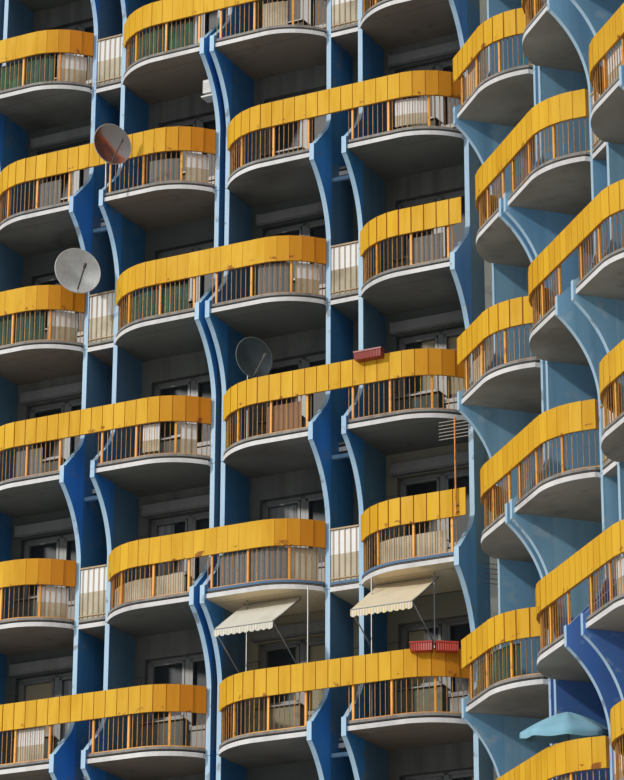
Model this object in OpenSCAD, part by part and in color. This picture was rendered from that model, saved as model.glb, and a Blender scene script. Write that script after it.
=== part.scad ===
// Apartment block with two wings that meet at an inward bend.
// Pairs of tall thin fins divide each side into bays, and curved balconies
// join neighbouring bays across the fins, one storey at one gap and the next
// storey at the next.

/* [Storeys] */
// Height from floor to floor
storey_h = 2800; // [2600:50:3000]
// Number of storeys, the ground floor included
storeys = 12; // [6:1:12]
// Height of the ground floor above the ground
base_h = 1000; // [700:50:1200]
// Thickness of the floors inside
floor_t = 200; // [160:10:260]
// Height of the roof parapet above the roof slab
parapet_h = 900; // [600:50:1200]
// Thickness of the coping on the parapet
coping_t = 60; // [40:5:100]
// Overhang of the coping
coping_over = 40; // [20:5:80]

/* [Plan] */
// Angle by which one wing turns away from the other
bend = 45; // [35:1:55]
// Bays along each wing
bays = 6; // [3:1:6]
// Clear width of a bay between its fins
bay_w = 2105; // [1900:5:2600]
// Clear width of a wide gap between two bays
gap_wide = 584; // [450:1:800]
// Clear width of a narrow gap between two bays
gap_narrow = 131; // [100:1:200]
// Distance from the bend to the first fin of the left wing
corner_left = 228; // [200:1:400]
// Distance from the bend to the first fin of the right wing
corner_right = 491; // [400:1:600]
// Set-back of the walls behind the fins' front edges
recess = 950; // [800:10:1100]
// Depth of a wing between its outer wall faces
body_d = 9600; // [8500:100:11000]
// Thickness of the outer walls
wall_t = 200; // [160:10:260]
// Width of the foundation
foundation_w = 400; // [340:10:500]
// Set-back of the pier in the bend
pier_back = 620; // [450:10:750]

/* [Fins] */
// Thickness of a fin
fin_t = 94; // [80:1:120]
// Reach of a fin's cap in front of its straight edge
cap_out = 705; // [600:5:740]
// Depth of a cap below the floor level
cap_low = 275; // [270:5:320]
// Height of a cap above the floor level
cap_high = 70; // [50:5:100]
// Height of the curve that carries a cap
curve_h = 1500; // [1200:10:1600]
// Flat lip under a cap's front edge
cap_lip = 15; // [10:1:25]
// Radius of the curve above a cap
hook_r = 700; // [600:10:750]
// Set-back of the slope above a cap behind the cap's front
hook_in = 45; // [30:1:60]
// Depth of the joint between two elements of a fin below a floor
joint_low = 130; // [100:5:180]
// Width of the joint
joint_gap = 12; // [6:1:20]

/* [Balconies] */
// Reach of the balconies in front of the fins' straight edges
front_out = 660; // [630:5:740]
// Thickness of a balcony slab
slab_t = 180; // [160:5:240]
// Height of the slab's lower band
lower_band_h = 85; // [70:5:100]
// Height of the groove in the slab's edge
groove_h = 25; // [20:5:40]
// Depth of the groove in the slab's edge
groove_d = 35; // [20:5:60]
// Set-back of the slab's upper band
upper_back = 12; // [0:1:20]
// Radius of a balcony's curved end
turn_r = 1350; // [1300:10:1450]
// Width of a balcony's curved end
turn_w = 1100; // [1000:10:1200]

/* [Railings] */
// Height of the gap under the sheet metal band
rail_gap = 650; // [550:10:700]
// Height of the sheet metal band
band_h = 500; // [400:10:560]
// Depth of the folds in the band, front to back
band_t = 40; // [25:1:50]
// Set-back of the band behind the slab's edge
band_back = 25; // [15:1:35]
// Height and depth of the bottom rail
rail_t = 30; // [20:1:36]
// Set-back of the bottom rail behind the slab's edge
rail_back = 68; // [60:1:80]
// Height of the panels in the small loggias
panel_h = 980; // [900:10:1050]
// Thickness of the panels in the small loggias
panel_t = 20; // [12:1:30]
// Depth and height of the tie beams between fins
tie_t = 70; // [50:5:90]

/* [Windows] */
// Width of a balcony door
door_w = 800; // [700:10:900]
// Width of the window beside it
window_w = 860; // [700:10:950]
// Height of the window sill above the floor
sill_h = 900; // [800:10:1000]
// Height of the openings' heads above the floor
head_h = 2150; // [2050:10:2250]
// Width of the frame members
frame_w = 60; // [45:1:75]
// Depth of the frames
frame_d = 70; // [55:1:85]
// Set-back of the frames in the wall
frame_back = 60; // [30:1:90]
// Thickness of the glass
glass_t = 12; // [8:1:20]
// Width of a stair window
stair_window_w = 1400; // [1000:50:1600]
// Height of a stair window
stair_window_h = 900; // [700:50:1100]

/* [Entrance and roof] */
// Width of the entrance
entrance_w = 1600; // [1300:50:1900]
// Number of steps up to the entrance
steps = 6; // [4:1:7]
// Depth of one step
tread = 300; // [260:10:320]
// Width of the lift house
lift_w = 4600; // [4000:100:5400]
// Depth of the lift house
lift_d = 3800; // [3200:100:4400]
// Height of the lift house
lift_h = 2500; // [2200:50:2800]
// Overhang of the lift house roof
lift_over = 200; // [100:10:300]

/* [Fittings] */
// Diameter of the smallest dish
dish_d = 800; // [700:10:900]
// Radius of the dishes' hollow
dish_r = 850; // [700:10:1200]
// Thickness of the dishes
dish_t = 14; // [10:1:20]
// Length of the hub behind a dish
hub_l = 90; // [60:5:120]
// Length of the arm that carries a dish's feed
arm_l = 470; // [400:5:500]
// Diameter of the dishes' poles
pole_d = 42; // [34:1:50]
// Width of an awning
awning_w = 1200; // [1000:10:1300]
// Reach of an awning
awning_out = 1120; // [900:10:1200]
// Drop of an awning's cloth over its reach
awning_drop = 760; // [600:10:800]
// Height of an awning's valance
valance_h = 150; // [100:5:200]
// Thickness of an awning's cloth
cloth_t = 30; // [20:1:36]
// Width of the box on the wall shelf
unit_w = 250; // [200:5:300]
// Height of the box on the wall shelf
unit_h = 280; // [220:5:320]
// Diameter of an aerial's mast
mast_d = 34; // [28:1:40]
// Length of an aerial's rods
rod_l = 620; // [500:10:700]
// Thickness of an aerial's rods
rod_d = 12; // [8:1:16]
// Length of a flower box
box_l = 400; // [340:5:440]
// Depth of a flower box
box_d = 190; // [150:5:230]
// Height of a flower box
box_h = 170; // [140:5:200]
// Thickness of a flower box's sides
box_t = 12; // [8:1:16]
// Height of the parasol
parasol_h = 1900; // [1700:10:2100]
// Diameter of the parasol
parasol_d = 1660; // [1400:10:1700]

/* [Hidden] */
$fn = 96;

WINGS = ["left", "right"];
half = bend / 2;
eps = 1;
turn_fn = 360;
// Angle at which a curved end leaves the straight edge
turn_start = 4;
// Length by which a band's end lies along the far fin
end_lap = 45;
// Set-back and thickness of the strips in the narrow gaps
strip_back = 250;
strip_t = 40;
// Set-back of the loggia slabs on the floors where the balconies are joined
loggia_back = 350;
lift_door_h = 2000;
// Gap between the entrance's two leaves
door_gap = 12;
// Largest overlap that still leaves a clean cut where an arc meets a flat face
bite = 8;
// Cross-section of the small struts, clamps and feeds
strut = 30;
// Distance from a mast's or pole's middle to the face that carries it
stand_off = 60;
// Play between a bracket and its seat
seat = 0.3;
// Lean of a feed's arm towards the middle of its dish
arm_lean = 40;
feed_l = 80;
feed_d = 52;
hub_d = 90;
pole_h = 900;
// Distance from a mast's top to its first rod
rod_top = 60;
canopy_h = 290;
canopy_t = 30;
parasol_foot = [190, 60];
// Height of the wall shelf above the floor
shelf_z = 1900;
// Angle at which the flower boxes start on a band's curved end
box_turn = 18;
// Distances of the awnings from their bays' starts
awning_x = [620, 480];
// Heights of the two masts
MASTS = [1820, 1000];

wall_front = recess;
wall_rear = recess + body_d;
total_d = 2 * recess + body_d;
foundation_h = base_h - floor_t;
roof_z = base_h + storeys * storey_h;
parapet_top = roof_z + parapet_h;
// Above a cap the edge runs back at 45 degrees, and then along an arc
hook_arc_h = hook_r * sin(45);
hook_x = hook_r - bite - hook_r * cos(45);
hook_h = cap_out - hook_in - hook_x;
curve_r = ((cap_out - cap_lip + bite) ^ 2 + curve_h ^ 2) / (2 * (cap_out - cap_lip + bite));
opening_x = (bay_w - door_w - window_w) / 2;
stair_leg = tan(half) * wall_rear;
entrance_x = -stair_leg / 2 - entrance_w / 2;
lift_y = (wall_front + body_d / 2) / cos(half);
origin_y = (wall_front + wall_t) / cos(half);
band_front = band_back - front_out;
// Middle of a balcony's curved end, and how far back a band runs to lie along its fin
turn_y = turn_r * cos(turn_start) - front_out;
band_end = max(0, turn_y - sqrt((turn_r - band_back) ^ 2 - turn_w ^ 2)) + end_lap;

// A dish: its middle along the left wing, reach, height, turn, rise and size
RUSTY = [bay_x("left", 3) + bay_w - 385, 1135, floor_z(9) + 732, -60, -3, 1.02];
PALE = [bay_x("left", 4) - fin_t / 2 - 95, 600, floor_z(8) + 1250, -50, 0, 1.15];
DARK = [bay_x("left", 2) + bay_w - turn_w + 285, 530, floor_z(7) + 1590, -60, -3, 0.98];

function floor_z(k) = base_h + k * storey_h;
function side_of(wing) = wing == "left" ? 0 : 1;
function corner(wing) = wing == "left" ? corner_left : corner_right;
function is_wide(wing, gap) = (gap + side_of(wing)) % 2 == 1;
function gap_w(wing, gap) = is_wide(wing, gap) ? gap_wide : gap_narrow;
function capped(wing, gap, k) = (gap + k + side_of(wing)) % 2 == 0;
function bay_run(wing, bay) =
    bay <= 1 ? 0 : bay_run(wing, bay - 1) + bay_w + 2 * fin_t + gap_w(wing, bay - 1);
function bay_x(wing, bay) = corner(wing) + fin_t + bay_run(wing, bay);
function wing_l(wing) = bay_x(wing, bays) + bay_w + fin_t;
function wall_end(wing) = wing_l(wing) - wall_t;
// A plan point at distance s along a wing and depth y behind its fins' edges
function plan(wing, s, y) =
    let (x = s * cos(half) + y * sin(half))
    [wing == "left" ? -x : x, -s * sin(half) + y * cos(half)];
function fold(y) = [0, y / cos(half)];
function ring(y0, y1, back) = [
    plan("left", wing_l("left") - back, y0), fold(y0),
    plan("right", wing_l("right") - back, y0),
    plan("right", wing_l("right") - back, y1), fold(y1),
    plan("left", wing_l("left") - back, y1)
];

module on_wing(wing) {
    mirror([wing == "left" ? 1 : 0, 0, 0]) rotate([0, 0, -half]) children();
}

module on_side(wing, side) {
    on_wing(wing)
        translate([0, side == "rear" ? total_d : 0, 0])
            mirror([0, side == "rear" ? 1 : 0, 0])
                children();
}

module on_ground() {
    translate([0, -origin_y, 0]) children();
}

module foundation() {
    color("gray") on_ground() linear_extrude(foundation_h) difference() {
        polygon(ring(wall_front, wall_rear, 0));
        polygon(ring(wall_front + foundation_w, wall_rear - foundation_w, foundation_w));
    }
}

// A wing's floor between the walls, as far as the fold between the wings
module floor_plates(wing) {
    inner = [wall_front + wall_t, wall_rear - wall_t];
    for (k = [0 : storeys - 1]) translate([0, 0, floor_z(k) - floor_t]) linear_extrude(floor_t) polygon([
        plan(wing, wall_end(wing), inner[0]), fold(inner[0]),
        fold(inner[1]), plan(wing, wall_end(wing), inner[1])
    ]);
}

module floor_slabs_left() {
    color("darkgray") on_ground() floor_plates("left");
}

module floor_slabs_right() {
    color("darkgray") on_ground() floor_plates("right");
}

module roof_slab() {
    color("dimgray") on_ground() translate([0, 0, roof_z - floor_t]) linear_extrude(floor_t)
        polygon(ring(wall_front + wall_t, wall_rear - wall_t, wall_t));
}

module roof_coping() {
    color("lightgray") on_ground() translate([0, 0, parapet_top]) linear_extrude(coping_t) difference() {
        polygon(ring(wall_front - coping_over, wall_rear + coping_over, -coping_over));
        polygon(ring(wall_front + wall_t + coping_over, wall_rear - wall_t - coping_over,
            wall_t + coping_over));
    }
}

// Outline of a bay's opening on a storey: a door with a window beside it,
// or a window alone on the ground floor
module opening(k) {
    if (k > 0) square([door_w, head_h]);
    translate([k > 0 ? door_w - eps : 0, sill_h])
        square([k > 0 ? window_w + eps : door_w + window_w, head_h - sill_h]);
}

// Places its 2-D child upright, y mm behind the fins' edges and t mm thick
module upright(y, t) {
    translate([0, y + t, 0]) rotate([90, 0, 0]) linear_extrude(t) children();
}

module long_wall(wing, side) {
    x0 = corner(wing) + fin_t;
    on_ground() on_side(wing, side) upright(wall_front, wall_t) difference() {
        translate([x0, foundation_h]) square([wall_end(wing) - x0, parapet_top - foundation_h]);
        for (bay = [1 : bays], k = [0 : storeys - 1])
            translate([bay_x(wing, bay) + opening_x, floor_z(k)]) opening(k);
    }
}

module front_wall_left() {
    color("silver") long_wall("left", "front");
}

module front_wall_right() {
    color("silver") long_wall("right", "front");
}

module rear_wall_left() {
    color("silver") long_wall("left", "rear");
}

module rear_wall_right() {
    color("silver") long_wall("right", "rear");
}

module end_walls() {
    color("gainsboro") on_ground() for (wing = WINGS) on_wing(wing)
        translate([wall_end(wing), wall_front, foundation_h])
            cube([wall_t, body_d, parapet_top - foundation_h]);
}

module corner_pier() {
    color("wheat") on_ground() translate([0, 0, foundation_h]) linear_extrude(parapet_top - foundation_h)
        polygon([
            fold(pier_back), plan("right", corner_right, pier_back),
            plan("right", corner_right, wall_front),
            plan("right", corner_right + fin_t, wall_front),
            plan("right", corner_right + fin_t, wall_front + wall_t), fold(wall_front + wall_t),
            plan("left", corner_left + fin_t, wall_front + wall_t),
            plan("left", corner_left + fin_t, wall_front),
            plan("left", corner_left, wall_front), plan("left", corner_left, pier_back)
        ]);
}

// Outline of the stair window above storey k, half a storey up
module stair_opening(k) {
    translate([-stair_leg / 2 - stair_window_w / 2, floor_z(k) + storey_h / 2])
        square([stair_window_w, stair_window_h]);
}

module entrance_opening() {
    translate([entrance_x, base_h]) square([entrance_w, head_h]);
}

module stair_wall() {
    color("silver") on_ground() difference() {
        translate([0, 0, foundation_h]) linear_extrude(parapet_top - foundation_h) polygon([
            plan("left", corner_left + fin_t, wall_rear), fold(wall_rear),
            plan("right", corner_right + fin_t, wall_rear),
            plan("right", corner_right + fin_t, wall_rear - wall_t), fold(wall_rear - wall_t),
            plan("left", corner_left + fin_t, wall_rear - wall_t)
        ]);
        for (wing = WINGS) on_wing(wing) upright(wall_rear - wall_t - eps, wall_t + 2 * eps) {
            for (k = [0 : storeys - 2]) if (k > 0 || wing == "left") stair_opening(k);
            if (wing == "right") entrance_opening();
        }
    }
}

// Side view of a fin's cap with the curves that carry it, outward to the left
module cap_profile(k) {
    mirror([1, 0]) translate([0, floor_z(k)]) {
        translate([-bite, -cap_low]) square([cap_out + bite, cap_low + cap_high]);
        difference() {
            translate([-bite, -cap_low - curve_h]) square([cap_out + 2 * bite, curve_h]);
            translate([curve_r - bite, -cap_low - curve_h]) circle(curve_r);
        }
        polygon([
            [-bite, cap_high], [hook_h + hook_x, cap_high],
            [hook_x, cap_high + hook_h], [-bite, cap_high + hook_h]
        ]);
        difference() {
            translate([-bite, cap_high + hook_h]) square([hook_r / 2, hook_arc_h]);
            translate([hook_r - bite, cap_high + hook_h + hook_arc_h]) circle(hook_r);
        }
    }
}

// Height of the joint in a fin below floor k
function joint_z(k) = k <= 0 ? 0 : k >= storeys ? roof_z : floor_z(k) - joint_low;

// A fin is a stack of elements two storeys high, with a cap in the middle of each
module fin(wing, gap, x) {
    translate([x, 0, 0]) rotate([90, 0, 90]) linear_extrude(fin_t)
        for (k = [0 : storeys]) if (capped(wing, gap, k)) {
            z0 = k > 1 ? joint_z(k - 1) + joint_gap : 0;
            translate([0, z0]) square([recess, joint_z(k + 1) - z0]);
            if (k > 0 && k < storeys) cap_profile(k);
        }
}

module fins(wing, side) {
    on_ground() on_side(wing, side) for (bay = [1 : bays]) {
        fin(wing, bay - 1, bay_x(wing, bay) - fin_t);
        fin(wing, bay, bay_x(wing, bay) + bay_w);
    }
}

module front_fins_left() {
    color("steelblue") fins("left", "front");
}

module front_fins_right() {
    color("steelblue") fins("right", "front");
}

module rear_fins_left() {
    color("steelblue") fins("left", "rear");
}

module rear_fins_right() {
    color("steelblue") fins("right", "rear");
}

// Runs its children at each gap between two bays, with $x at the gap's start
module at_gaps(wide) {
    for (wing = WINGS, side = ["front", "rear"], gap = [1 : bays - 1])
        if (is_wide(wing, gap) == wide)
            on_side(wing, side) translate([bay_x(wing, gap) + bay_w + fin_t, 0, 0]) children();
}

module gap_strips() {
    color("royalblue") on_ground() at_gaps(false)
        translate([0, strip_back, 0]) cube([gap_narrow, strip_t, roof_z]);
}

module tie_beams() {
    color("lightblue") on_ground() at_gaps(true) for (k = [1 : 2 : storeys - 1])
        translate([0, tie_t, floor_z(k) - cap_low - 2 * tie_t]) cube([gap_wide, tie_t, tie_t]);
}

module loggia_slabs() {
    color("gray") on_ground() at_gaps(true) for (k = [1 : storeys - 1]) {
        back = k % 2 == 1 ? loggia_back : 0;
        translate([0, back, floor_z(k) - slab_t]) difference() {
            cube([gap_wide, recess - back, slab_t]);
            if (back == 0) translate([-eps, -eps, lower_band_h])
                cube([gap_wide + 2 * eps, groove_d + eps, groove_h]);
        }
    }
}

module loggia_panels() {
    color("white") on_ground() at_gaps(true) for (k = [2 : 2 : storeys - 1])
        translate([0, panel_t, floor_z(k)]) cube([gap_wide, panel_t, panel_h]);
}

// Plan of a bay's balcony, joined at x = 0 and curved away at its other end.
// inset moves its edge back; back, near and far move its other sides outward
module lobe(inset, back, near = 0, far = 0) {
    turn_x = bay_w - turn_w;
    difference() {
        translate([-near, inset - front_out]) square([bay_w + near + far, front_out - inset + back]);
        difference() {
            translate([turn_x, -front_out - eps]) square([turn_w + far + eps, turn_y + front_out + eps]);
            translate([turn_x, turn_y]) circle(turn_r - inset, $fn = turn_fn);
        }
    }
}

// The same plan in its place: a bay joins the neighbour whose gap has caps
module bay_plan(wing, bay, k, inset, back, near = 0, far = 0) {
    if (capped(wing, bay - 1, k))
        translate([bay_x(wing, bay), 0]) lobe(inset, back, near, far);
    else
        translate([bay_x(wing, bay) + bay_w, 0]) mirror([1, 0]) lobe(inset, back, near, far);
}

module balcony_slab(wing, bay, k) {
    translate([0, 0, floor_z(k) - slab_t]) {
        linear_extrude(lower_band_h) bay_plan(wing, bay, k, 0, recess);
        translate([0, 0, lower_band_h - eps]) linear_extrude(groove_h + 2 * eps)
            bay_plan(wing, bay, k, groove_d, recess);
        translate([0, 0, lower_band_h + groove_h]) linear_extrude(slab_t - lower_band_h - groove_h)
            bay_plan(wing, bay, k, upper_back, recess);
    }
}

module balcony_slabs(wing, side) {
    on_ground() on_side(wing, side) for (bay = [1 : bays], k = [1 : storeys - 1])
        balcony_slab(wing, bay, k);
}

module front_slabs_left() {
    color("lightgray") balcony_slabs("left", "front");
}

module front_slabs_right() {
    color("lightgray") balcony_slabs("right", "front");
}

module rear_slabs_left() {
    color("lightgray") balcony_slabs("left", "rear");
}

module rear_slabs_right() {
    color("lightgray") balcony_slabs("right", "rear");
}

// Plan of the balconies on both sides of a gap, with what lies between them
module joined_plan(wing, gap, inset, back, near = 0, far = 0) {
    x0 = gap > 0 ? bay_x(wing, gap) + bay_w : bay_x(wing, 1) - fin_t - near;
    x1 = gap < bays ? bay_x(wing, gap + 1) : wing_l(wing) + near;
    if (gap > 0) translate([x0, 0]) mirror([1, 0]) lobe(inset, back, 0, far);
    if (gap < bays) translate([x1, 0]) lobe(inset, back, 0, far);
    translate([x0, inset - front_out]) square([x1 - x0, front_out - inset + back]);
}

module at_joins(wing, side) {
    on_side(wing, side) for (gap = [0 : bays], k = [1 : storeys - 1])
        if (capped(wing, gap, k)) translate([0, 0, floor_z(k)]) {
            $gap = gap;
            children();
        }
}

module bands(wing, side) {
    on_ground() at_joins(wing, side) translate([0, 0, rail_gap])
        linear_extrude(band_h) difference() {
            joined_plan(wing, $gap, band_back, band_end);
            joined_plan(wing, $gap, band_back + band_t, band_end + eps, eps, -band_t);
        }
}

module front_bands_left() {
    color("goldenrod") bands("left", "front");
}

module front_bands_right() {
    color("goldenrod") bands("right", "front");
}

module rear_bands_left() {
    color("goldenrod") bands("left", "rear");
}

module rear_bands_right() {
    color("goldenrod") bands("right", "rear");
}

// The bottom rails lie on the slabs. They start at a cap's side and follow the edge round
module rails(side) {
    on_ground() for (wing = WINGS) on_side(wing, side)
        for (bay = [1 : bays], k = [1 : storeys - 1]) translate([0, 0, floor_z(k)])
            linear_extrude(rail_t) difference() {
                bay_plan(wing, bay, k, rail_back, end_lap);
                bay_plan(wing, bay, k, rail_back + rail_t, end_lap + eps, eps, -rail_t);
            }
}

module front_rails() {
    color("orange") rails("front");
}

module rear_rails() {
    color("orange") rails("rear");
}

module stair_lights(k) {
    x0 = -stair_leg / 2 - stair_window_w / 2;
    light_w = (stair_window_w - 3 * frame_w) / 2;
    for (i = [0, 1])
        translate([x0 + frame_w + i * (light_w + frame_w), floor_z(k) + storey_h / 2 + frame_w])
            square([light_w, stair_window_h - 2 * frame_w]);
}

module stair_frames() {
    color("whitesmoke") on_ground() for (wing = WINGS)
        on_wing(wing) upright(wall_rear - frame_back - frame_d, frame_d)
            for (k = [0 : storeys - 2]) if (k > 0 || wing == "left") difference() {
                stair_opening(k);
                stair_lights(k);
            }
}

// One sheet of glass a storey closes a wall's openings from inside, and one each stair window
module glass() {
    color("slategray") on_ground() {
        for (wing = WINGS, side = ["front", "rear"])
            on_side(wing, side) upright(wall_front + wall_t, glass_t)
                for (k = [0 : storeys - 1]) translate([bay_x(wing, 1), floor_z(k)])
                    square([bay_x(wing, bays) + bay_w - bay_x(wing, 1), head_h + frame_w]);
        for (wing = WINGS) on_wing(wing) upright(wall_rear - frame_back - frame_d - glass_t, glass_t)
            for (k = [0 : storeys - 2]) if (k > 0 || wing == "left") stair_opening(k);
    }
}

module doors() {
    leaf_w = (entrance_w - door_gap) / 2;
    color("saddlebrown") on_ground() {
        on_wing("right") for (i = [0, 1]) upright(wall_rear - frame_back - frame_d, frame_d)
            translate([entrance_x + i * (leaf_w + door_gap), base_h]) square([leaf_w, head_h]);
        translate([-door_w / 2, lift_y - lift_d / 2 + frame_back, roof_z])
            cube([door_w, frame_d, lift_door_h]);
    }
}

module entrance_steps() {
    rise = base_h / steps;
    color("gray") on_ground() on_wing("right") translate([entrance_x, wall_rear, 0])
        rotate([90, 0, 90]) linear_extrude(entrance_w) polygon([
            [0, 0],
            for (i = [0 : steps - 1])
                each [[(steps - i) * tread, i * rise], [(steps - i) * tread, (i + 1) * rise]],
            [0, base_h]
        ]);
}

module lift_house() {
    color("silver") on_ground() translate([0, lift_y, roof_z]) difference() {
        translate([-lift_w / 2, -lift_d / 2, 0]) cube([lift_w, lift_d, lift_h]);
        translate([wall_t - lift_w / 2, wall_t - lift_d / 2, -eps])
            cube([lift_w - 2 * wall_t, lift_d - 2 * wall_t, lift_h + 2 * eps]);
        translate([-door_w / 2, -lift_d / 2 - eps, -eps])
            cube([door_w, wall_t + 2 * eps, lift_door_h + eps]);
    }
}

module lift_house_roof() {
    color("dimgray") on_ground()
        translate([-lift_w / 2 - lift_over, lift_y - lift_d / 2 - lift_over, roof_z + lift_h])
            cube([lift_w + 2 * lift_over, lift_d + 2 * lift_over, floor_t]);
}

// A shallow round dish that faces up, with its feed on an arm from the rim
module dish() {
    rim_z = dish_r - sqrt(dish_r ^ 2 - (dish_d / 2) ^ 2);
    rotate_extrude() intersection() {
        difference() {
            translate([0, dish_r]) circle(dish_r);
            translate([0, dish_r + dish_t]) circle(dish_r);
        }
        square([dish_d / 2, rim_z + dish_t]);
    }
    translate([0, dish_t - dish_d / 2, rim_z]) rotate([-arm_lean, 0, 0]) {
        cylinder(h = arm_l, r = dish_t);
        translate([0, 0, arm_l]) cylinder(h = feed_l, r = feed_d / 2);
    }
    translate([0, 0, -hub_l]) cylinder(h = hub_l + dish_t / 2, r = hub_d / 2);
}

module dish_of(d) {
    on_ground() on_wing("left") translate([d[0], -d[1], d[2]])
        rotate([0, 0, d[3]]) rotate([90 - d[4], 0, 0]) scale(d[5]) dish();
}

module rusty_dish() {
    color("brown") dish_of(RUSTY);
}

module pale_dish() {
    color("gainsboro") dish_of(PALE);
}

module dark_dish() {
    color("darkslategray") dish_of(DARK);
}

// Place behind a dish's hub, lift mm above its middle, for its pole
module behind(d, lift) {
    back = (hub_l * d[5] + pole_d / 2) * cos(d[4]);
    translate([d[0] - back * sin(d[3]), back * cos(d[3]) - d[1], d[2] + lift]) children();
}

module dish_poles() {
    rusty_y = (hub_l * RUSTY[5] + pole_d / 2) * cos(RUSTY[3]) - RUSTY[1];
    pale_y = (hub_l * PALE[5] + pole_d / 2) * cos(PALE[3]) - PALE[1];
    color("gray") on_ground() on_wing("left") {
        behind(RUSTY, strut - pole_h) cylinder(h = pole_h, r = pole_d / 2);
        for (z = [rail_gap, RUSTY[2] - floor_z(9)])
            behind(RUSTY, floor_z(9) + z - RUSTY[2]) translate([-strut, 0, 0])
                cube([2 * strut, band_front - rusty_y - seat, strut]);
        behind(PALE, -hub_d / 2) cylinder(h = hub_d, r = pole_d / 2);
        behind(PALE, 0) rotate([-90, 0, 0]) cylinder(h = -pale_y - seat, r = pole_d / 2);
        behind(DARK, floor_z(7) - DARK[2]) cylinder(h = DARK[2] - floor_z(7) + strut, r = pole_d / 2);
    }
}

// Side view of an awning, outward to the left: sloping cloth with a valance
module awnings() {
    color("wheat") on_ground() on_wing("left")
        for (i = [0, 1])
            translate([bay_x("left", i + 1) + awning_x[i], 0, floor_z(6) - slab_t])
                rotate([90, 0, 90]) linear_extrude(awning_w) polygon([
                    [0, 0], [0, -cloth_t], [cloth_t - awning_out, -awning_drop],
                    [cloth_t - awning_out, -awning_drop - valance_h],
                    [-awning_out, -awning_drop - valance_h],
                    [-awning_out, cloth_t - awning_drop], [-cloth_t, 0]
                ]);
}

// A box on a shelf at the side of a fin, under the balcony above
module wall_unit() {
    color("whitesmoke") on_ground() on_wing("left")
        translate([bay_x("left", 3), -unit_w / 2, floor_z(9) + shelf_z]) {
            cube([unit_w + strut, unit_w + strut, strut]);
            translate([0, strut, strut]) cube([2 * strut, 2 * strut, 2 * strut]);
            translate([0, strut / 2, 3 * strut]) cube([unit_w, unit_w, unit_h]);
        }
}

// An aerial: a mast with straight rods across it, and two clamps behind it
module aerial(mast_h, rods, spacing) {
    cylinder(h = mast_h, r = mast_d / 2);
    for (i = [0 : rods - 1]) translate([-rod_l / 2, -rod_d / 2, mast_h - rod_top - i * spacing])
        cube([rod_l, rod_d, rod_d]);
    for (z = [rod_top, 3 * rod_top]) translate([-strut, 0, z])
        cube([2 * strut, stand_off - seat, strut]);
}

module aerials() {
    color("darkorange") on_ground() {
        on_wing("left")
            translate([corner_left + fin_t / 2, band_front - stand_off, floor_z(6) + rail_gap])
                aerial(MASTS[0], 6, 65);
        on_wing("right") translate([corner_right - stand_off, stand_off, floor_z(6) - slab_t - MASTS[1]])
            rotate([0, 0, -90]) aerial(MASTS[1], 5, 90);
    }
}

module flower_box(l) {
    translate([-l / 2, -box_d, rail_gap + band_h - box_h / 2]) difference() {
        cube([l, box_d, box_h]);
        translate([box_t, box_t, box_t]) cube([l - 2 * box_t, box_d - 2 * box_t, box_h]);
    }
}

// Place on the curved end of a band in the left wing's first bay, at an angle
// from its straight part
module on_turn(angle) {
    r = turn_r - band_back;
    translate([bay_x("left", 1) + turn_w - r * sin(angle), turn_y - r * cos(angle), 0])
        rotate([0, 0, -angle]) children();
}

module flower_boxes() {
    apart = 2 * atan((box_l + box_t) / 2 / (turn_r - band_back));
    color("indianred") on_ground() on_wing("left") {
        translate([0, 0, floor_z(5)]) for (i = [0, 1]) on_turn(box_turn + i * apart) flower_box(box_l);
        translate([bay_x("left", 1) + 0.77 * bay_w, band_front, floor_z(7)]) flower_box(1.4 * box_l);
    }
}

// A parasol on a balcony of the right wing
module parasol() {
    color("teal") on_ground() on_wing("right") translate([bay_x("right", 2) + 1050, -250, floor_z(4)]) {
        cylinder(h = parasol_h - canopy_t, r = pole_d / 2);
        cylinder(h = parasol_foot[1], r = parasol_foot[0]);
        translate([0, 0, parasol_h - canopy_h - canopy_t]) rotate_extrude() polygon([
            [0, canopy_h], [0, canopy_h + canopy_t], [canopy_t, canopy_h + canopy_t],
            [parasol_d / 2, canopy_t], [parasol_d / 2, 0]
        ]);
    }
}

foundation();
floor_slabs_left();
floor_slabs_right();
roof_slab();
roof_coping();
front_wall_left();
front_wall_right();
rear_wall_left();
rear_wall_right();
end_walls();
corner_pier();
stair_wall();
front_fins_left();
front_fins_right();
rear_fins_left();
rear_fins_right();
gap_strips();
tie_beams();
loggia_slabs();
loggia_panels();
front_slabs_left();
front_slabs_right();
rear_slabs_left();
rear_slabs_right();
front_bands_left();
front_bands_right();
rear_bands_left();
rear_bands_right();
front_rails();
rear_rails();
stair_frames();
glass();
doors();
entrance_steps();
lift_house();
lift_house_roof();
rusty_dish();
pale_dish();
dark_dish();
dish_poles();
awnings();
wall_unit();
aerials();
flower_boxes();
parasol();
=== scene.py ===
import random
from math import acos, asin, atan, atan2, cos, hypot, pi, radians, sin, sqrt

import bmesh
import bpy
from mathutils import Matrix, Vector


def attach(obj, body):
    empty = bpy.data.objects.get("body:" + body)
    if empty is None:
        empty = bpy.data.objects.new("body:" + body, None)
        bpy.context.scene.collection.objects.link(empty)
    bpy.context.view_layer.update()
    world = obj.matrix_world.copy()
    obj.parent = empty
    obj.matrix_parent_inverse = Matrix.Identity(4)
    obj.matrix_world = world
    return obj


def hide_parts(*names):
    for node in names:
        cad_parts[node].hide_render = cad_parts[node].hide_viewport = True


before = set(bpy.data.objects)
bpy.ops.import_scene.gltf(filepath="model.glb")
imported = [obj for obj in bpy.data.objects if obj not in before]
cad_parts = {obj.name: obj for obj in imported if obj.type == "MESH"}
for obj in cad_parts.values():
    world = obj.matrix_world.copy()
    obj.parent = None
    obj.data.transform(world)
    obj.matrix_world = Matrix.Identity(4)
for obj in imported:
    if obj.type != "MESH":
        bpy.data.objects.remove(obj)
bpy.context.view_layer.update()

scene = bpy.context.scene

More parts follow.
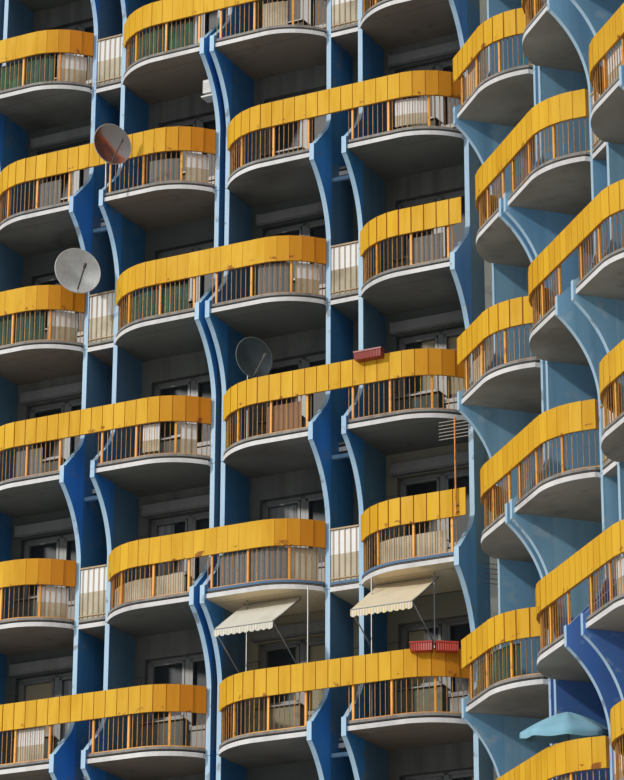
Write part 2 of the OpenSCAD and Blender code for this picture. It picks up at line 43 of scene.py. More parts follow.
# ---- Stage and camera
# The camera looks up at the inner corner from the far side of the right wing.
# Floor and sky are plain and pale. The block keeps its own colours, except where
# light and shade are painted into them, as the sections below say.

heading, pitch, roll = radians(-49.897), radians(20.931), radians(0.235)
forward = Vector((cos(pitch) * sin(heading), cos(pitch) * cos(heading), sin(pitch)))
level = Vector((cos(heading), -sin(heading), 0))
right = (cos(roll) * level + sin(roll) * level.cross(forward)).normalized()
eye = bpy.data.cameras.new("photo_camera")
eye.lens = 139.42
eye.clip_end = 500
camera = bpy.data.objects.new("photo_camera", eye)
camera.matrix_world = Matrix.Translation((36.795, -36.280, 1.572)) @ Matrix(
    (right, right.cross(forward), -forward)).transposed().to_4x4()
scene.collection.objects.link(camera)
scene.camera = camera
scene.view_settings.view_transform = "Standard"


def srgb(colour):
    """A colour given as 0-255 screen values. A socket's colour stays as it is."""
    if isinstance(colour, Value):
        return colour
    return [((v / 255 + 0.055) / 1.055) ** 2.4 if v > 10 else v / 255 / 12.92 for v in colour] + [1]


def mesh_object(name, verts, faces=(), edges=(), smooth=False):
    data = bpy.data.meshes.new(name)
    data.from_pydata(verts, edges, faces)
    data.update()
    if smooth:
        data.shade_smooth()
    made = bpy.data.objects.new(name, data)
    scene.collection.objects.link(made)
    return made


turn = radians(22.5)  # how far each wing turns back at the bend
fold_y = 1.15 / cos(turn)  # where the lines of both wings' fin edges meet, in front of the origin


class Value:
    """A socket of a material's node, on which Python's operators work."""

    def __init__(self, shader, socket):
        self.shader, self.socket = shader, socket

    def __add__(self, other):
        return self.shader.maths("ADD", self, other)

    def __sub__(self, other):
        return self.shader.maths("SUBTRACT", self, other)

    def __mul__(self, other):
        return self.shader.maths("MULTIPLY", self, other)

    def __truediv__(self, other):
        return self.shader.maths("DIVIDE", self, other)

    def __mod__(self, other):
        return self.shader.maths("FLOORED_MODULO", self, other)

    def __rsub__(self, other):
        return self.shader.maths("SUBTRACT", other, self)

    def __gt__(self, other):
        return self.shader.maths("GREATER_THAN", self, other)

    def __lt__(self, other):
        return self.shader.maths("LESS_THAN", self, other)

    __radd__ = __add__
    __rmul__ = __mul__


class Shader:
    """A material under construction, with its Principled shader."""

    def __init__(self, name, roughness=0.6, metallic=0.0):
        self.material = bpy.data.materials.new(name)
        self.material.use_nodes = True
        self.tree = self.material.node_tree
        self.surface = self.tree.nodes["Principled BSDF"]
        self.surface.inputs["Roughness"].default_value = roughness
        self.surface.inputs["Metallic"].default_value = metallic
        self.place, self.colour = self.node("ShaderNodeTexCoord", out="Object"), None

    def node(self, kind, settings=None, inputs=None, out=0):
        made = self.tree.nodes.new(kind)
        for key, value in (settings or {}).items():
            setattr(made, key, value)
        for key, value in (inputs or {}).items():
            if isinstance(value, Value):
                self.tree.links.new(value.socket, made.inputs[key])
            else:
                made.inputs[key].default_value = value
        return Value(self, made.outputs[out])

    def mix(self, a, b, factor):
        """Colour a where factor is 0 and b where it is 1."""
        return self.node("ShaderNodeMix", {"data_type": "RGBA", "clamp_factor": True},
                         {0: factor, 6: srgb(a), 7: srgb(b)}, out=2)

    def patchy(self, a, b, *noise):
        """Starts the colour with two tones in patches of the noise."""
        self.colour = self.mix(a, b, self.noise(*noise))

    def paint(self, colour, factor):
        """Covers the colour so far with another, wholly where factor is 1."""
        self.colour = self.mix(self.colour, colour, factor)

    def noise(self, scale, detail=3.0, low=0.0, high=1.0):
        """Noise with its values from low to high spread over 0 to 1. Three scales stretch it."""
        where = self.place
        if isinstance(scale, tuple):
            where, scale = self.node("ShaderNodeMapping", None, {"Vector": where, "Scale": scale}), 1.0
        made = self.node("ShaderNodeTexNoise", None, {"Vector": where, "Scale": scale, "Detail": detail})
        return self.spread(made, low, high)

    def spread(self, value, low, high):
        """A value's stretch from low to high, spread over 0 to 1."""
        return self.node("ShaderNodeMapRange", None, {0: value, 1: low, 2: high, 3: 0.0, 4: 1.0})

    def stored(self, name):
        """A number that is stored with the mesh's points."""
        return self.node("ShaderNodeAttribute", {"attribute_name": name}, out="Fac")

    def on_wing(self):
        """Distance along a wing from the bend and depth behind its fins' edges, the same on both wings."""
        x, y = self.maths("ABSOLUTE", self.part("X")), self.part("Y") + fold_y
        c, s = cos(turn), sin(turn)
        return x * c - y * s, x * s + y * c

    def part(self, axis):
        return self.node("ShaderNodeSeparateXYZ", None, {0: self.place}, out=axis)

    def maths(self, operation, a, b=0.0):
        return self.node("ShaderNodeMath", {"operation": operation}, {0: a, 1: b})

    def chance(self, along, up, seed):
        """A random number from 0 to 1 for each cell of two counts."""
        cell = self.node("ShaderNodeCombineXYZ", None,
                         {0: self.maths("FLOOR", along), 1: self.maths("FLOOR", up), 2: seed})
        return self.node("ShaderNodeTexWhiteNoise", None, {"Vector": cell}, out="Value")

    def between(self, value, low, high):
        """1 where a value lies between two others, and 0 elsewhere."""
        return (value > low) * (value < high)

    def vectors(self, operation, a, b, out=0):
        return self.node("ShaderNodeVectorMath", {"operation": operation}, {0: a, 1: b}, out)

    def facing(self, direction):
        """How far the surface faces a direction, from -1 to 1."""
        normal = self.node("ShaderNodeNewGeometry", out="Normal")
        return self.vectors("DOT_PRODUCT", normal, direction, "Value")

    def height(self):
        return self.part("Z")

    def finish(self, bump=None, strength=0.3, distance=0.01, roughness=None):
        """Links what changes over the surface and hands back the material."""
        links = self.tree.links
        links.new(self.colour.socket, self.surface.inputs["Base Color"])
        if bump is not None:
            normal = self.node("ShaderNodeBump", None,
                               {"Height": bump, "Strength": strength, "Distance": distance}, out="Normal")
            links.new(normal.socket, self.surface.inputs["Normal"])
        if roughness is not None:
            links.new(roughness.socket, self.surface.inputs["Roughness"])
        return self.material


sky = bpy.data.worlds.new("pale_sky")
sky.use_nodes = True
scene.world = sky
sky_nodes, sky_links = sky.node_tree.nodes, sky.node_tree.links
sky_nodes["Background"].inputs["Color"].default_value = (0.86, 0.92, 1.0, 1)
sky_nodes["Background"].inputs["Strength"].default_value = 0.62
shown = sky_nodes.new("ShaderNodeBackground")
shown.inputs["Color"].default_value = (0.80, 0.82, 0.84, 1)
shown.inputs["Strength"].default_value = 1.0
rays = sky_nodes.new("ShaderNodeLightPath")
either = sky_nodes.new("ShaderNodeMath")
either.operation = "MAXIMUM"
chooser = sky_nodes.new("ShaderNodeMixShader")
sky_links.new(rays.outputs["Is Camera Ray"], either.inputs[0])
sky_links.new(rays.outputs["Is Transmission Ray"], either.inputs[1])
sky_links.new(either.outputs[0], chooser.inputs[0])
sky_links.new(sky_nodes["Background"].outputs[0], chooser.inputs[1])
sky_links.new(shown.outputs[0], chooser.inputs[2])
sky_links.new(chooser.outputs[0], sky_nodes["World Output"].inputs["Surface"])

sun_azimuth, sun_height = radians(-98), radians(25)
sun_from = (cos(sun_azimuth) * cos(sun_height), sin(sun_azimuth) * cos(sun_height), sin(sun_height))
for name, energy, width, colour, lit_from in (("soft_sun", 2.3, 4, (1.0, 0.96, 0.90), sun_from),
                                              ("soft_fill", 0.7, 50, (1.0, 1.0, 1.0), (0.62, -0.40, 0.68))):
    lamp = bpy.data.lights.new(name, "SUN")
    lamp.energy, lamp.angle, lamp.color = energy, radians(width), colour
    lamp_object = bpy.data.objects.new(name, lamp)
    lamp_object.rotation_mode = "QUATERNION"
    lamp_object.rotation_quaternion = Vector(lit_from).to_track_quat("Z", "Y")
    scene.collection.objects.link(lamp_object)

half = 150
floor = mesh_object("pale_floor", [(-half, -half, 0), (half, -half, 0), (half, half, 0), (-half, half, 0)],
                    [(0, 1, 2, 3)])
pale = Shader("pale_floor", 0.8)
pale.patchy((205, 204, 200), (212, 211, 208), 0.4)
floor.data.materials.append(pale.finish())


def finish_nodes(material, *names):
    """Gives CAD nodes their material."""
    for name in names:
        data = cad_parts[name].data
        data.materials.clear()
        data.materials.append(material)
        data.polygons.foreach_set("material_index", [0] * len(data.polygons))


def weathered(name, colour, dirt, amount=0.45, roughness=0.8, stain=None):
    """Starts a paint or concrete with changes of tone, rain streaks down it and a fine grain."""
    made = Shader(name, roughness)
    cloud = made.noise(0.45, 4.0, 0.35, 0.7)
    streak = made.noise((5.0, 5.0, 0.28), 5.0, 0.42, 0.78)
    fine = made.noise(38.0, 4.0)
    made.colour = made.mix(colour, dirt, (cloud * 0.5 + streak * 0.7) * amount)
    if stain is not None:
        made.paint(stain, made.noise(2.2, 5.0, 0.62, 0.75) * 0.35)
    made.paint(dirt, fine * 0.12)
    return made, fine


def weathered_finish(name, colour, dirt, amount, roughness, strength, distance):
    """The same paint or concrete with nothing more on it than a bump from its grain."""
    made, fine = weathered(name, colour, dirt, amount, roughness)
    return made.finish(fine, strength, distance)


# ---- Foundation, floors and roof
# Cast concrete that carries the block. The ground floor stands a metre up on it,
# and the roof is covered with dark felt inside a light coping.

finish_nodes(weathered_finish("foundation_concrete", (150, 147, 140), (84, 80, 74), 0.45, 0.8, 0.4, 0.01),
             "foundation", "floor_slabs_left", "floor_slabs_right", "entrance_steps")
finish_nodes(weathered_finish("roof_felt", (74, 74, 76), (40, 40, 42), 0.7, 0.9, 0.6, 0.01),
             "roof_slab", "lift_house_roof")
finish_nodes(weathered_finish("coping_sheet", (176, 178, 176), (110, 108, 100), 0.5, 0.5, 0.15, 0.004),
             "roof_coping")

# ---- Walls
# Rendered concrete behind the balconies. Each flat's stretch was painted by itself,
# grey, grey green or cream, and all of it is streaked by rain. Its dark base tone is
# painted shade of the recesses; the walls outside the flats are painted lighter.

bay_pitch, first_bay, storey_h, base_h, storeys = 2.65, 0.15, 2.8, 1.0, 12


def floor_z(k):
    return base_h + k * storey_h


def flat_chance(made, seed):
    """A random number for each flat's stretch of wall, the same over all of it."""
    return made.chance((made.on_wing()[0] - first_bay) / bay_pitch, (made.height() - base_h) / storey_h, seed)


def above_floor(made):
    """Height above the floor of the storey."""
    return (made.height() - base_h) % storey_h


# The dark base tone stands for the walls behind the balconies: painted shade of the recesses.
made, fine = weathered("wall_render", (104, 105, 99), (52, 52, 49), 0.8, 0.85, stain=(86, 74, 58))
own = flat_chance(made, 3.0)
s, depth = made.on_wing()
flats_end, second_end = 15.6, 5.4  # where a wing's flats end, and the second of them
flats = made.between(s, 0.1, flats_end) * (made.height() < floor_z(storeys))
made.paint((70, 76, 70), flats * (own < 0.35) * 0.8)
made.paint((128, 122, 102), flats * (own > 0.86) * 0.6)
# Outside the flats, out of the recesses, the walls are painted lighter.
made.paint((146, 144, 136), (1 - flats) * 0.6)
near_bend = (s < second_end) * (depth < 2.0) * (made.part("X") < 0)
cream_flats = made.between(made.height(), floor_z(5), floor_z(6) - 0.2) * near_bend
made.paint((190, 178, 142), cream_flats * 0.25)
made.paint((60, 58, 55), (made.height() % storey_h < 0.02) * 0.7)
finish_nodes(made.finish(fine, 0.5, 0.01), "front_wall_left", "front_wall_right", "rear_wall_left",
             "rear_wall_right", "end_walls", "stair_wall", "lift_house")

# ---- Pier in the bend
# A precast panel that closes the inner corner, painted a warm cream that has flaked
# off in patches. The cream is lighter than its own paint: painted light for the sun
# that falls on the pier.

# Light cream: painted light for the sun on the pier.
made, fine = weathered("pier_paint", (250, 242, 222), (198, 190, 170), 0.45, 0.85)
bare = made.noise(1.1, 6.0, 0.50, 0.56)
made.paint((194, 190, 178), bare * 0.85)
finish_nodes(made.finish(fine - bare * 0.4, 0.4, 0.01), "corner_pier")

# ---- Fins
# Thin precast blades, painted blue: deep on the left wing, paler and greyer on the
# right, where the light colours inside the balconies are partly painted light. Their
# narrow front edges are pale, partly bleached paint and partly painted light for the
# sun on them, and rain has streaked their sides.

along = {"left": (-cos(turn), -sin(turn), 0), "right": (cos(turn), -sin(turn), 0)}


def fin_paint(wing, deep, teal, grey, edge, inside, worn):
    """Paint of one wing's fins. Inside the balconies some flats repainted their side of a fin, on the right
    wing in light colours that are partly painted light.
    """
    made = Shader("fin_paint_" + wing, 0.55)
    s, depth = made.on_wing()
    z = made.height()
    cloud = made.noise(0.30, 3.0, 0.4, 0.62)
    streak = made.noise((4.0, 4.0, 0.22), 5.0, 0.45, 0.8)
    fine = made.noise(30.0, 4.0)
    made.colour = made.mix(deep, teal, cloud)
    own = flat_chance(made, 11.0)
    inner = depth > 0.03
    made.paint(inside[0], inner * (own > 0.5) * 0.8)
    made.paint(inside[1], inner * (own < 0.5) * 0.7)
    if wing == "right":
        newer = made.between(s, 2.6, 8.2) * (z < floor_z(5) + 0.9)
        made.paint((64, 106, 184), newer * 0.85)
    made.paint(grey, streak * 0.45)
    flaked = made.noise(2.8, 6.0, 0.60, 0.70)
    made.paint(worn, flaked * 0.5)
    side = made.facing(along[wing])
    front = (1 - side * side) > 0.5
    # The pale front edges: partly bleached paint, partly painted light for the sun on them.
    made.paint(edge, front * (0.92 - streak * 0.35))
    made.paint((84, 84, 80), front * made.noise(3.2, 6.0, 0.62, 0.68) * 0.6)
    return made.finish(fine - flaked * 0.5, 0.25, 0.006, roughness=0.45 + fine * 0.25)


left_paint = fin_paint("left", (44, 120, 200), (62, 136, 190), (46, 80, 112), (162, 190, 206),
                       ((84, 108, 112), (54, 98, 124)), (112, 116, 110))
# The right wing's light inside colours are partly painted light on those sides of its fins.
right_paint = fin_paint("right", (108, 160, 198), (130, 172, 194), (84, 110, 134), (162, 188, 204),
                        ((138, 182, 208), (122, 174, 212)), (172, 190, 198))
finish_nodes(left_paint, "front_fins_left", "rear_fins_left")
finish_nodes(right_paint, "front_fins_right", "rear_fins_right")

# ---- Strips and tie beams
# Sheet metal strips in deep blue close the narrow gaps between fins, and short
# concrete ties in light blue brace the wide ones.

finish_nodes(weathered_finish("strip_paint", (34, 84, 170), (28, 50, 96), 0.6, 0.5, 0.2, 0.005), "gap_strips")
finish_nodes(weathered_finish("tie_paint", (128, 166, 192), (70, 84, 96), 0.6, 0.6, 0.2, 0.005), "tie_beams")

# ---- Balcony slabs
# Precast slabs with a drip groove round their edge. The lower band is painted white,
# the upper one is grey with dirt, and a dark line along the groove is its painted
# shadow and dirt. The soffits are dark, partly dirt and partly painted shade under the
# slabs, and lighter on the right wing.

made = Shader("slab_paint", 0.8)
s, depth = made.on_wing()
z = made.height()
slab_t = 0.18
white_top, groove_shadow_low, groove_shadow_high = 0.1095, 0.0852, 0.130  # above the slab's underside
above_soffit = (z - (base_h - slab_t)) % storey_h
cloud = made.noise(0.9, 4.0, 0.4, 0.7)
streak = made.noise((7.0, 7.0, 0.5), 5.0, 0.42, 0.8)
fine = made.noise(42.0, 4.0)
white = made.mix((214, 212, 210), (158, 156, 154), cloud * 0.45 + streak * 0.35)
upper = made.mix((140, 136, 130), (78, 74, 68), streak * 0.7 + cloud * 0.3)
blue_edged = made.between(z, floor_z(6) - 0.4, floor_z(6) + 0.1) * (s < second_end) * (made.part("X") < 0)
upper = made.mix(upper, (58, 104, 142), blue_edged * 0.8)
made.colour = made.mix(white, upper, above_soffit > white_top)
# A dark line along the drip groove: painted shadow of the groove, with dirt in it.
made.paint((36, 34, 33), made.between(above_soffit, groove_shadow_low, groove_shadow_high))
blotch = made.noise(0.8, 5.0, 0.35, 0.7)
# The soffits' dark tones are partly dirt and partly painted shade under the slabs.
soffit = made.mix((120, 119, 111), (84, 82, 76), blotch)
own = flat_chance(made, 17.0)
soffit = made.mix(soffit, (96, 100, 92), (own > 0.6) * 0.7)
soffit = made.mix(soffit, (128, 112, 96), (own < 0.2) * 0.7)
lighter = made.mix((168, 162, 150), (132, 126, 114), blotch)
soffit = made.mix(soffit, lighter, (made.part("X") > 0.3) * 0.9)
soffit = made.mix(soffit, (226, 206, 168), blue_edged * 0.85)
joint = made.between(depth, -0.312, -0.292) * (made.part("X") < 0)
soffit = made.mix(soffit, (52, 50, 47), joint * 0.6)
soffit = made.mix(soffit, (48, 45, 42), made.noise(2.6, 6.0, 0.6, 0.75) * 0.4)
# Downward faces take the soffit tones: painted shade and dirt.
made.paint(soffit, made.facing((0, 0, -1)) > 0.6)
made.paint((70, 66, 60), fine * 0.12)
finish_nodes(made.finish(fine - joint, 0.35, 0.006), "front_slabs_left", "front_slabs_right",
             "rear_slabs_left", "rear_slabs_right", "loggia_slabs")

# ---- Railings
# Square orange posts, welded to a bottom rail, carry the yellow bands. Thin rusty
# bars stand between them, from the rail up to the band.

bay_w, fin_t, recess, total_d = 2.105, 0.094, 0.95, 11.5  # recess: from the fins' edges to the wall
gaps = {"left": (0.584, 0.131), "right": (0.131, 0.584)}
corners = {"left": 0.228, "right": 0.491}
front_out, turn_r, turn_w = 0.66, 1.35, 1.1  # reach, radius of the curved end and the width that it takes up
arc_y = turn_r * cos(radians(4)) - front_out  # how far back the middle of that curve lies
bays = 6


def bay_x(wing, bay):
    """Where a bay starts along its wing."""
    return corners[wing] + fin_t + sum(bay_w + 2 * fin_t + gaps[wing][(gap + 1) % 2] for gap in range(1, bay))


def capped(wing, gap, k):
    """Whether the fins beside a gap have their caps at floor k, so that the balconies join there."""
    return (gap + k + (wing == "right")) % 2 == 0


def spot(wing, side, s, y, z):
    """A point at distance s along a wing and depth y behind the fins' edges."""
    y = total_d - y if side == "rear" else y
    x = s * cos(turn) + y * sin(turn)
    return (-x if wing == "left" else x, -s * sin(turn) + y * cos(turn) - fold_y, z)


def lobe(inset, step=0.05):
    """Plan of a balcony's edge, from its joined end round its curved end to the fin."""
    r = turn_r - inset
    first = acos((arc_y + front_out - inset) / r)
    last = asin(turn_w / r)
    count = max(4, round((last - first) * r / step))
    points = [(0.0, inset - front_out), (bay_w - turn_w + r * sin(first), inset - front_out)]
    for i in range(1, count + 1):
        a = first + (last - first) * i / count
        points.append((bay_w - turn_w + r * sin(a), arc_y - r * cos(a)))
    return points


def on_balcony(wing, side, bay, k, x, y, z):
    """A point on a balcony, x from its joined end, y behind the fins' edges and z above its floor."""
    x0 = bay_x(wing, bay)
    near = capped(wing, bay - 1, k)
    return spot(wing, side, x0 + x if near else x0 + bay_w - x, y, floor_z(k) + z)


def all_balconies(side):
    return [(wing, side, bay, k) for wing in ("left", "right") for bay in range(1, bays + 1)
            for k in range(1, storeys)]


def rail_path(where, inset):
    return [on_balcony(*where, x, y, 0.0) for x, y in lobe(inset)]


def paths_object(name, paths):
    """A mesh of loose polylines for a tree to follow."""
    verts, edges = [], []
    for path in paths:
        edges += [(len(verts) + i, len(verts) + i + 1) for i in range(len(path) - 1)]
        verts += path
    return mesh_object(name, verts, edges=edges)


def new_tree(name, sockets, kinds, chain, links, settings):
    """A Geometry Nodes tree from its named inputs, its nodes, the chain that the geometry runs through,
    the other links, and the nodes' settings."""
    tree = bpy.data.node_groups.new(name, "GeometryNodeTree")
    for label, kind, value in sockets:
        made = tree.interface.new_socket(label, in_out="INPUT", socket_type="NodeSocket" + kind)
        if value is not None:
            made.default_value = value
    tree.interface.new_socket("Made", in_out="OUTPUT", socket_type="NodeSocketGeometry")
    kinds = {"in": "NodeGroupInput", **kinds, "out": "NodeGroupOutput"}
    nodes = {label: tree.nodes.new(kind) for label, kind in kinds.items()}
    for label, key, value in settings:
        if key == "Name":
            nodes[label].inputs["Name"].default_value = value
        else:
            setattr(nodes[label], key, value)
    for start, out, end, into in [(start, 0, end, 0) for start, end in zip(chain, chain[1:])] + links:
        tree.links.new(nodes[start].outputs[out], nodes[end].inputs[into])
    return tree


follow = new_tree(
    "pieces_along_a_path",
    [("Path", "Geometry", None), ("Spacing", "Float", 0.2), ("Piece", "Object", None),
     ("Finish", "Material", None), ("Seed", "Int", 7)],
    {"curve": "GeometryNodeMeshToCurve", "even": "GeometryNodeResampleCurve",
     "tangent": "GeometryNodeInputTangent", "align": "FunctionNodeAlignRotationToVector",
     "piece": "GeometryNodeObjectInfo",
     "set": "GeometryNodeInstanceOnPoints", "random": "FunctionNodeRandomValue",
     "tone": "GeometryNodeStoreNamedAttribute", "real": "GeometryNodeRealizeInstances",
     "finish": "GeometryNodeSetMaterial"},
    ("in", "curve", "even", "set", "tone", "real", "finish", "out"),
    [("in", "Spacing", "even", 3), ("tangent", 0, "align", "Vector"), ("align", 0, "set", "Rotation"),
     ("in", "Piece", "piece", 0), ("piece", "Geometry", "set", "Instance"), ("in", "Seed", "random", "Seed"),
     ("random", 1, "tone", "Value"), ("in", "Finish", "finish", "Material")],
    [("even", "mode", "LENGTH"), ("align", "axis", "X"), ("align", "pivot_axis", "Z"),
     ("tone", "data_type", "FLOAT"), ("tone", "domain", "INSTANCE"), ("tone", "Name", "tone")])
stand = new_tree(
    "pieces_at_points",
    [("Points", "Geometry", None), ("Piece", "Object", None), ("Finish", "Material", None)],
    {"turn": "GeometryNodeInputNamedAttribute", "upright": "ShaderNodeCombineXYZ",
     "piece": "GeometryNodeObjectInfo", "set": "GeometryNodeInstanceOnPoints",
     "real": "GeometryNodeRealizeInstances", "finish": "GeometryNodeSetMaterial"},
    ("in", "set", "real", "finish", "out"),
    [("turn", 0, "upright", "Z"), ("upright", 0, "set", "Rotation"), ("in", "Piece", "piece", 0),
     ("piece", "Geometry", "set", "Instance"), ("in", "Finish", "finish", "Material")],
    [("turn", "data_type", "FLOAT"), ("turn", "Name", "turn")])


def bake_tree(carrier, tree, name, slot, **inputs):
    """Runs a tree on its carrier and hands back the result as one plain mesh that rides on the block."""
    modifier = carrier.modifiers.new("made", "NODES")
    modifier.node_group = tree
    for socket in tree.interface.items_tree:
        if socket.in_out == "INPUT" and socket.name in inputs:
            modifier[socket.identifier] = inputs[socket.name]
    evaluated = carrier.evaluated_get(bpy.context.evaluated_depsgraph_get())
    data = bpy.data.meshes.new_from_object(evaluated)
    data.name = name
    carrier.modifiers.remove(modifier)
    bpy.data.objects.remove(carrier)
    result = bpy.data.objects.new(name, data)
    scene.collection.objects.link(result)
    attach(result, "root")
    return result


def at_points(name, places, piece, finish, slot):
    """Sets copies of a piece at places, each a point and a turn about the upright."""
    carrier = mesh_object(name + "_points", [p for p, a in places])
    turns = carrier.data.attributes.new("turn", "FLOAT", "POINT")
    turns.data.foreach_set("value", [a for p, a in places])
    return bake_tree(carrier, stand, name, slot, Piece=piece, Finish=finish)


def along_paths(name, paths, piece, spacing, finish, slot):
    """Sets copies of a piece along paths, each turned along its path."""
    return bake_tree(paths_object(name + "_path", paths), follow, name, slot, Spacing=spacing, Piece=piece,
                     Finish=finish)


def hidden_shape(name, verts, faces):
    """A shape for a tree to copy, which doesn't show itself."""
    made = mesh_object(name, verts, faces)
    made.hide_render = True
    return made


def bar_mesh(name, w, d, z0, z1, top=True):
    """An upright bar of w by d with bevelled edges, without end faces where they are hidden."""
    b = min(w, d) * 0.16
    ring = [(-w / 2 + b, -d / 2), (w / 2 - b, -d / 2), (w / 2, -d / 2 + b), (w / 2, d / 2 - b),
            (w / 2 - b, d / 2), (-w / 2 + b, d / 2), (-w / 2, d / 2 - b), (-w / 2, -d / 2 + b)]
    verts = [(x, y, z) for z in (z0, z1) for x, y in ring]
    faces = [(i, (i + 1) % 8, 8 + (i + 1) % 8, 8 + i) for i in range(8)]
    if top:
        faces += [tuple(range(7, -1, -1)), tuple(range(8, 16))]
    return hidden_shape(name, verts, faces)


post_shape = bar_mesh("post_shape", 0.045, 0.045, 0.0, 0.68)
bar_shape = bar_mesh("bar_shape", 0.013, 0.013, 0.025, 0.66, top=False)

made = Shader("post_paint", 0.5)
fine = made.noise(60.0, 3.0)
made.patchy((230, 160, 38), (208, 132, 28), 0.9, 2.0, 0.4, 0.6)
rust = made.noise(9.0, 6.0, 0.58, 0.7)
made.paint((110, 60, 30), rust * 0.6)
post_paint = made.finish(fine, 0.3, 0.002)

made = Shader("bar_paint", 0.6)
made.colour = made.mix((190, 132, 46), (132, 86, 36), made.stored("tone"))
rust = made.noise(14.0, 6.0, 0.5, 0.7)
made.paint((70, 40, 26), rust * 0.6)
bar_paint = made.finish(rust, 0.3, 0.002)


def points_on(path, distances):
    """The points at given distances along a path, each with the path's direction there."""
    found, run = [], 0.0
    wanted = sorted(distances)
    for a, b in zip(path, path[1:]):
        a, b = Vector(a), Vector(b)
        length = (b - a).length
        while wanted and wanted[0] <= run + length:
            d = (b - a) / length
            found.append((tuple(a + d * (wanted.pop(0) - run)), atan2(d.y, d.x)))
        run += length
    return found


post_inset, bar_inset, post_at, bar_spacing = 0.083, 0.073, (0.08, 0.83, 1.62, 2.32), 0.10
for side in ("front", "rear"):
    places = [p for where in all_balconies(side) for p in points_on(rail_path(where, post_inset), post_at)]
    at_points(side + "_posts", places, post_shape, post_paint, "post_orange")
    along_paths(side + "_bars", [rail_path(where, bar_inset) for where in all_balconies(side)], bar_shape,
                bar_spacing, bar_paint, "post_orange")
    finish_nodes(post_paint, side + "_rails")

# ---- Yellow bands
# Folded sheet metal, hung on the posts in flat panels a hand's breadth or two wide.
# Each panel has a raised seam on one side and has faded a little differently.

panel_w, band_low, band_high, panel_inset = 0.235, 0.65, 1.15, 0.017


def box_corners(x0, x1, y0, y1, z0, z1):
    return [(x, y, z) for z in (z0, z1) for x, y in ((x0, y0), (x1, y0), (x1, y1), (x0, y1))]


def add_solid(mesh, corners, mirrored=False):
    """Adds a box to a mesh from its eight corners, four below and four above."""
    n = len(mesh[0])
    mesh[0].extend(corners)
    for f in ((3, 2, 1, 0), (4, 5, 6, 7), (0, 1, 5, 4), (1, 2, 6, 5), (2, 3, 7, 6), (3, 0, 4, 7)):
        mesh[1].append(tuple(n + i for i in (reversed(f) if mirrored else f)))


def band_paths(wing, side, inset):
    """The lines that bands follow, each over two bays or from a wing's end over one."""
    made = []
    for gap in range(bays + 1):
        for k in range(1, storeys):
            if not capped(wing, gap, k):
                continue
            plan = []
            if gap > 0:
                x0 = bay_x(wing, gap) + bay_w
                plan += [(x0 - x, y) for x, y in reversed(lobe(inset)[:-2])]
            else:
                plan.append((corners[wing], inset - front_out))
            if gap < bays:
                x1 = bay_x(wing, gap + 1)
                plan += [(x1 + x, y) for x, y in lobe(inset)[:-2]]
            else:
                plan.append((bay_x(wing, bays) + bay_w + fin_t, inset - front_out))
            made.append([spot(wing, side, x, y, floor_z(k)) for x, y in plan])
    return made


def panel_mesh():
    """A flat panel with a folded seam standing on its first edge, which is marked as such."""
    half, t, rise = panel_w / 2, 0.006, 0.009
    mesh = ([], [])
    add_solid(mesh, box_corners(-half + 0.002, half - 0.002, -t, t, band_low - 0.004, band_high + 0.004))
    add_solid(mesh, box_corners(-half - 0.004, -half + 0.004, -rise, rise, band_low - 0.006,
                                band_high + 0.006))
    made = hidden_shape("panel_shape", *mesh)
    seam = made.data.attributes.new("seam", "FLOAT", "POINT")
    seam.data.foreach_set("value", [0.0] * 8 + [1.0] * 8)
    return made


made = Shader("band_enamel", 0.42)
made.surface.inputs["Specular IOR Level"].default_value = 0.15
cloud = made.noise(0.8, 4.0, 0.35, 0.65)
streak = made.noise((9.0, 9.0, 1.2), 5.0, 0.45, 0.8)
fine = made.noise(45.0, 4.0)
made.colour = made.mix((210, 163, 38), (196, 146, 26), made.stored("tone"))
made.paint((208, 168, 56), cloud * 0.35)
# Faces turned towards +x, away from the sun, are painted a deeper orange: painted shade.
made.paint((178, 92, 12), made.spread(made.facing((1, 0, 0)), 0.4, 1.0) * 0.8)
made.paint((160, 104, 30), streak * 0.3)
up_band = above_floor(made) - band_low
rust = made.noise(5.0, 6.0, 0.60, 0.66) * made.between(up_band, -0.02, 0.09)
drips = made.noise((26.0, 26.0, 1.0), 4.0, 0.70, 0.78)
drips = drips * made.between(up_band, -0.02, 0.23)
spots = made.noise(7.0, 3.0, 0.76, 0.79)
made.paint((122, 62, 26), rust * 0.85 + drips * 0.4 + spots * 0.6)
# Darker seams: partly rust and partly painted shade beside the raised seam.
made.paint((166, 106, 16), made.stored("seam") * 0.55)
band_enamel = made.finish(fine - rust * 0.6, 0.12, 0.003, roughness=0.58 + streak * 0.2)

band_core = weathered_finish("band_core", (190, 122, 36), (110, 66, 26), 0.6, 0.6, 0.2, 0.004)
panel_shape = panel_mesh()
for side in ("front", "rear"):
    for wing in ("left", "right"):
        along_paths("_".join((side, "panels", wing)), band_paths(wing, side, panel_inset), panel_shape,
                    panel_w, band_enamel, "band_yellow")
        finish_nodes(band_core, "_".join((side, "bands", wing)))

# ---- Small loggias in the wide gaps
# Painted white boards close the front of each, their lower part beige as painted shade,
# behind a light railing of the same bars.


def add_box(mesh, wing, side, low, high):
    """Adds a box between two corners given as distance along a wing, depth and height."""
    points = box_corners(*(v for pair in zip(low, high) for v in pair))
    add_solid(mesh, [spot(wing, side, *p) for p in points], (wing == "left") != (side == "rear"))


def new_piece(name, verts, faces, material, slot, smooth=False, settle=False):
    """A finished piece from its mesh, riding on the block. Settling it points all its faces outwards."""
    piece = mesh_object(name, verts, faces, smooth=smooth)
    if settle:
        made = bmesh.new()
        made.from_mesh(piece.data)
        bmesh.ops.recalc_face_normals(made, faces=made.faces)
        made.to_mesh(piece.data)
        made.free()
    piece.data.materials.append(material)
    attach(piece, "root")
    return piece


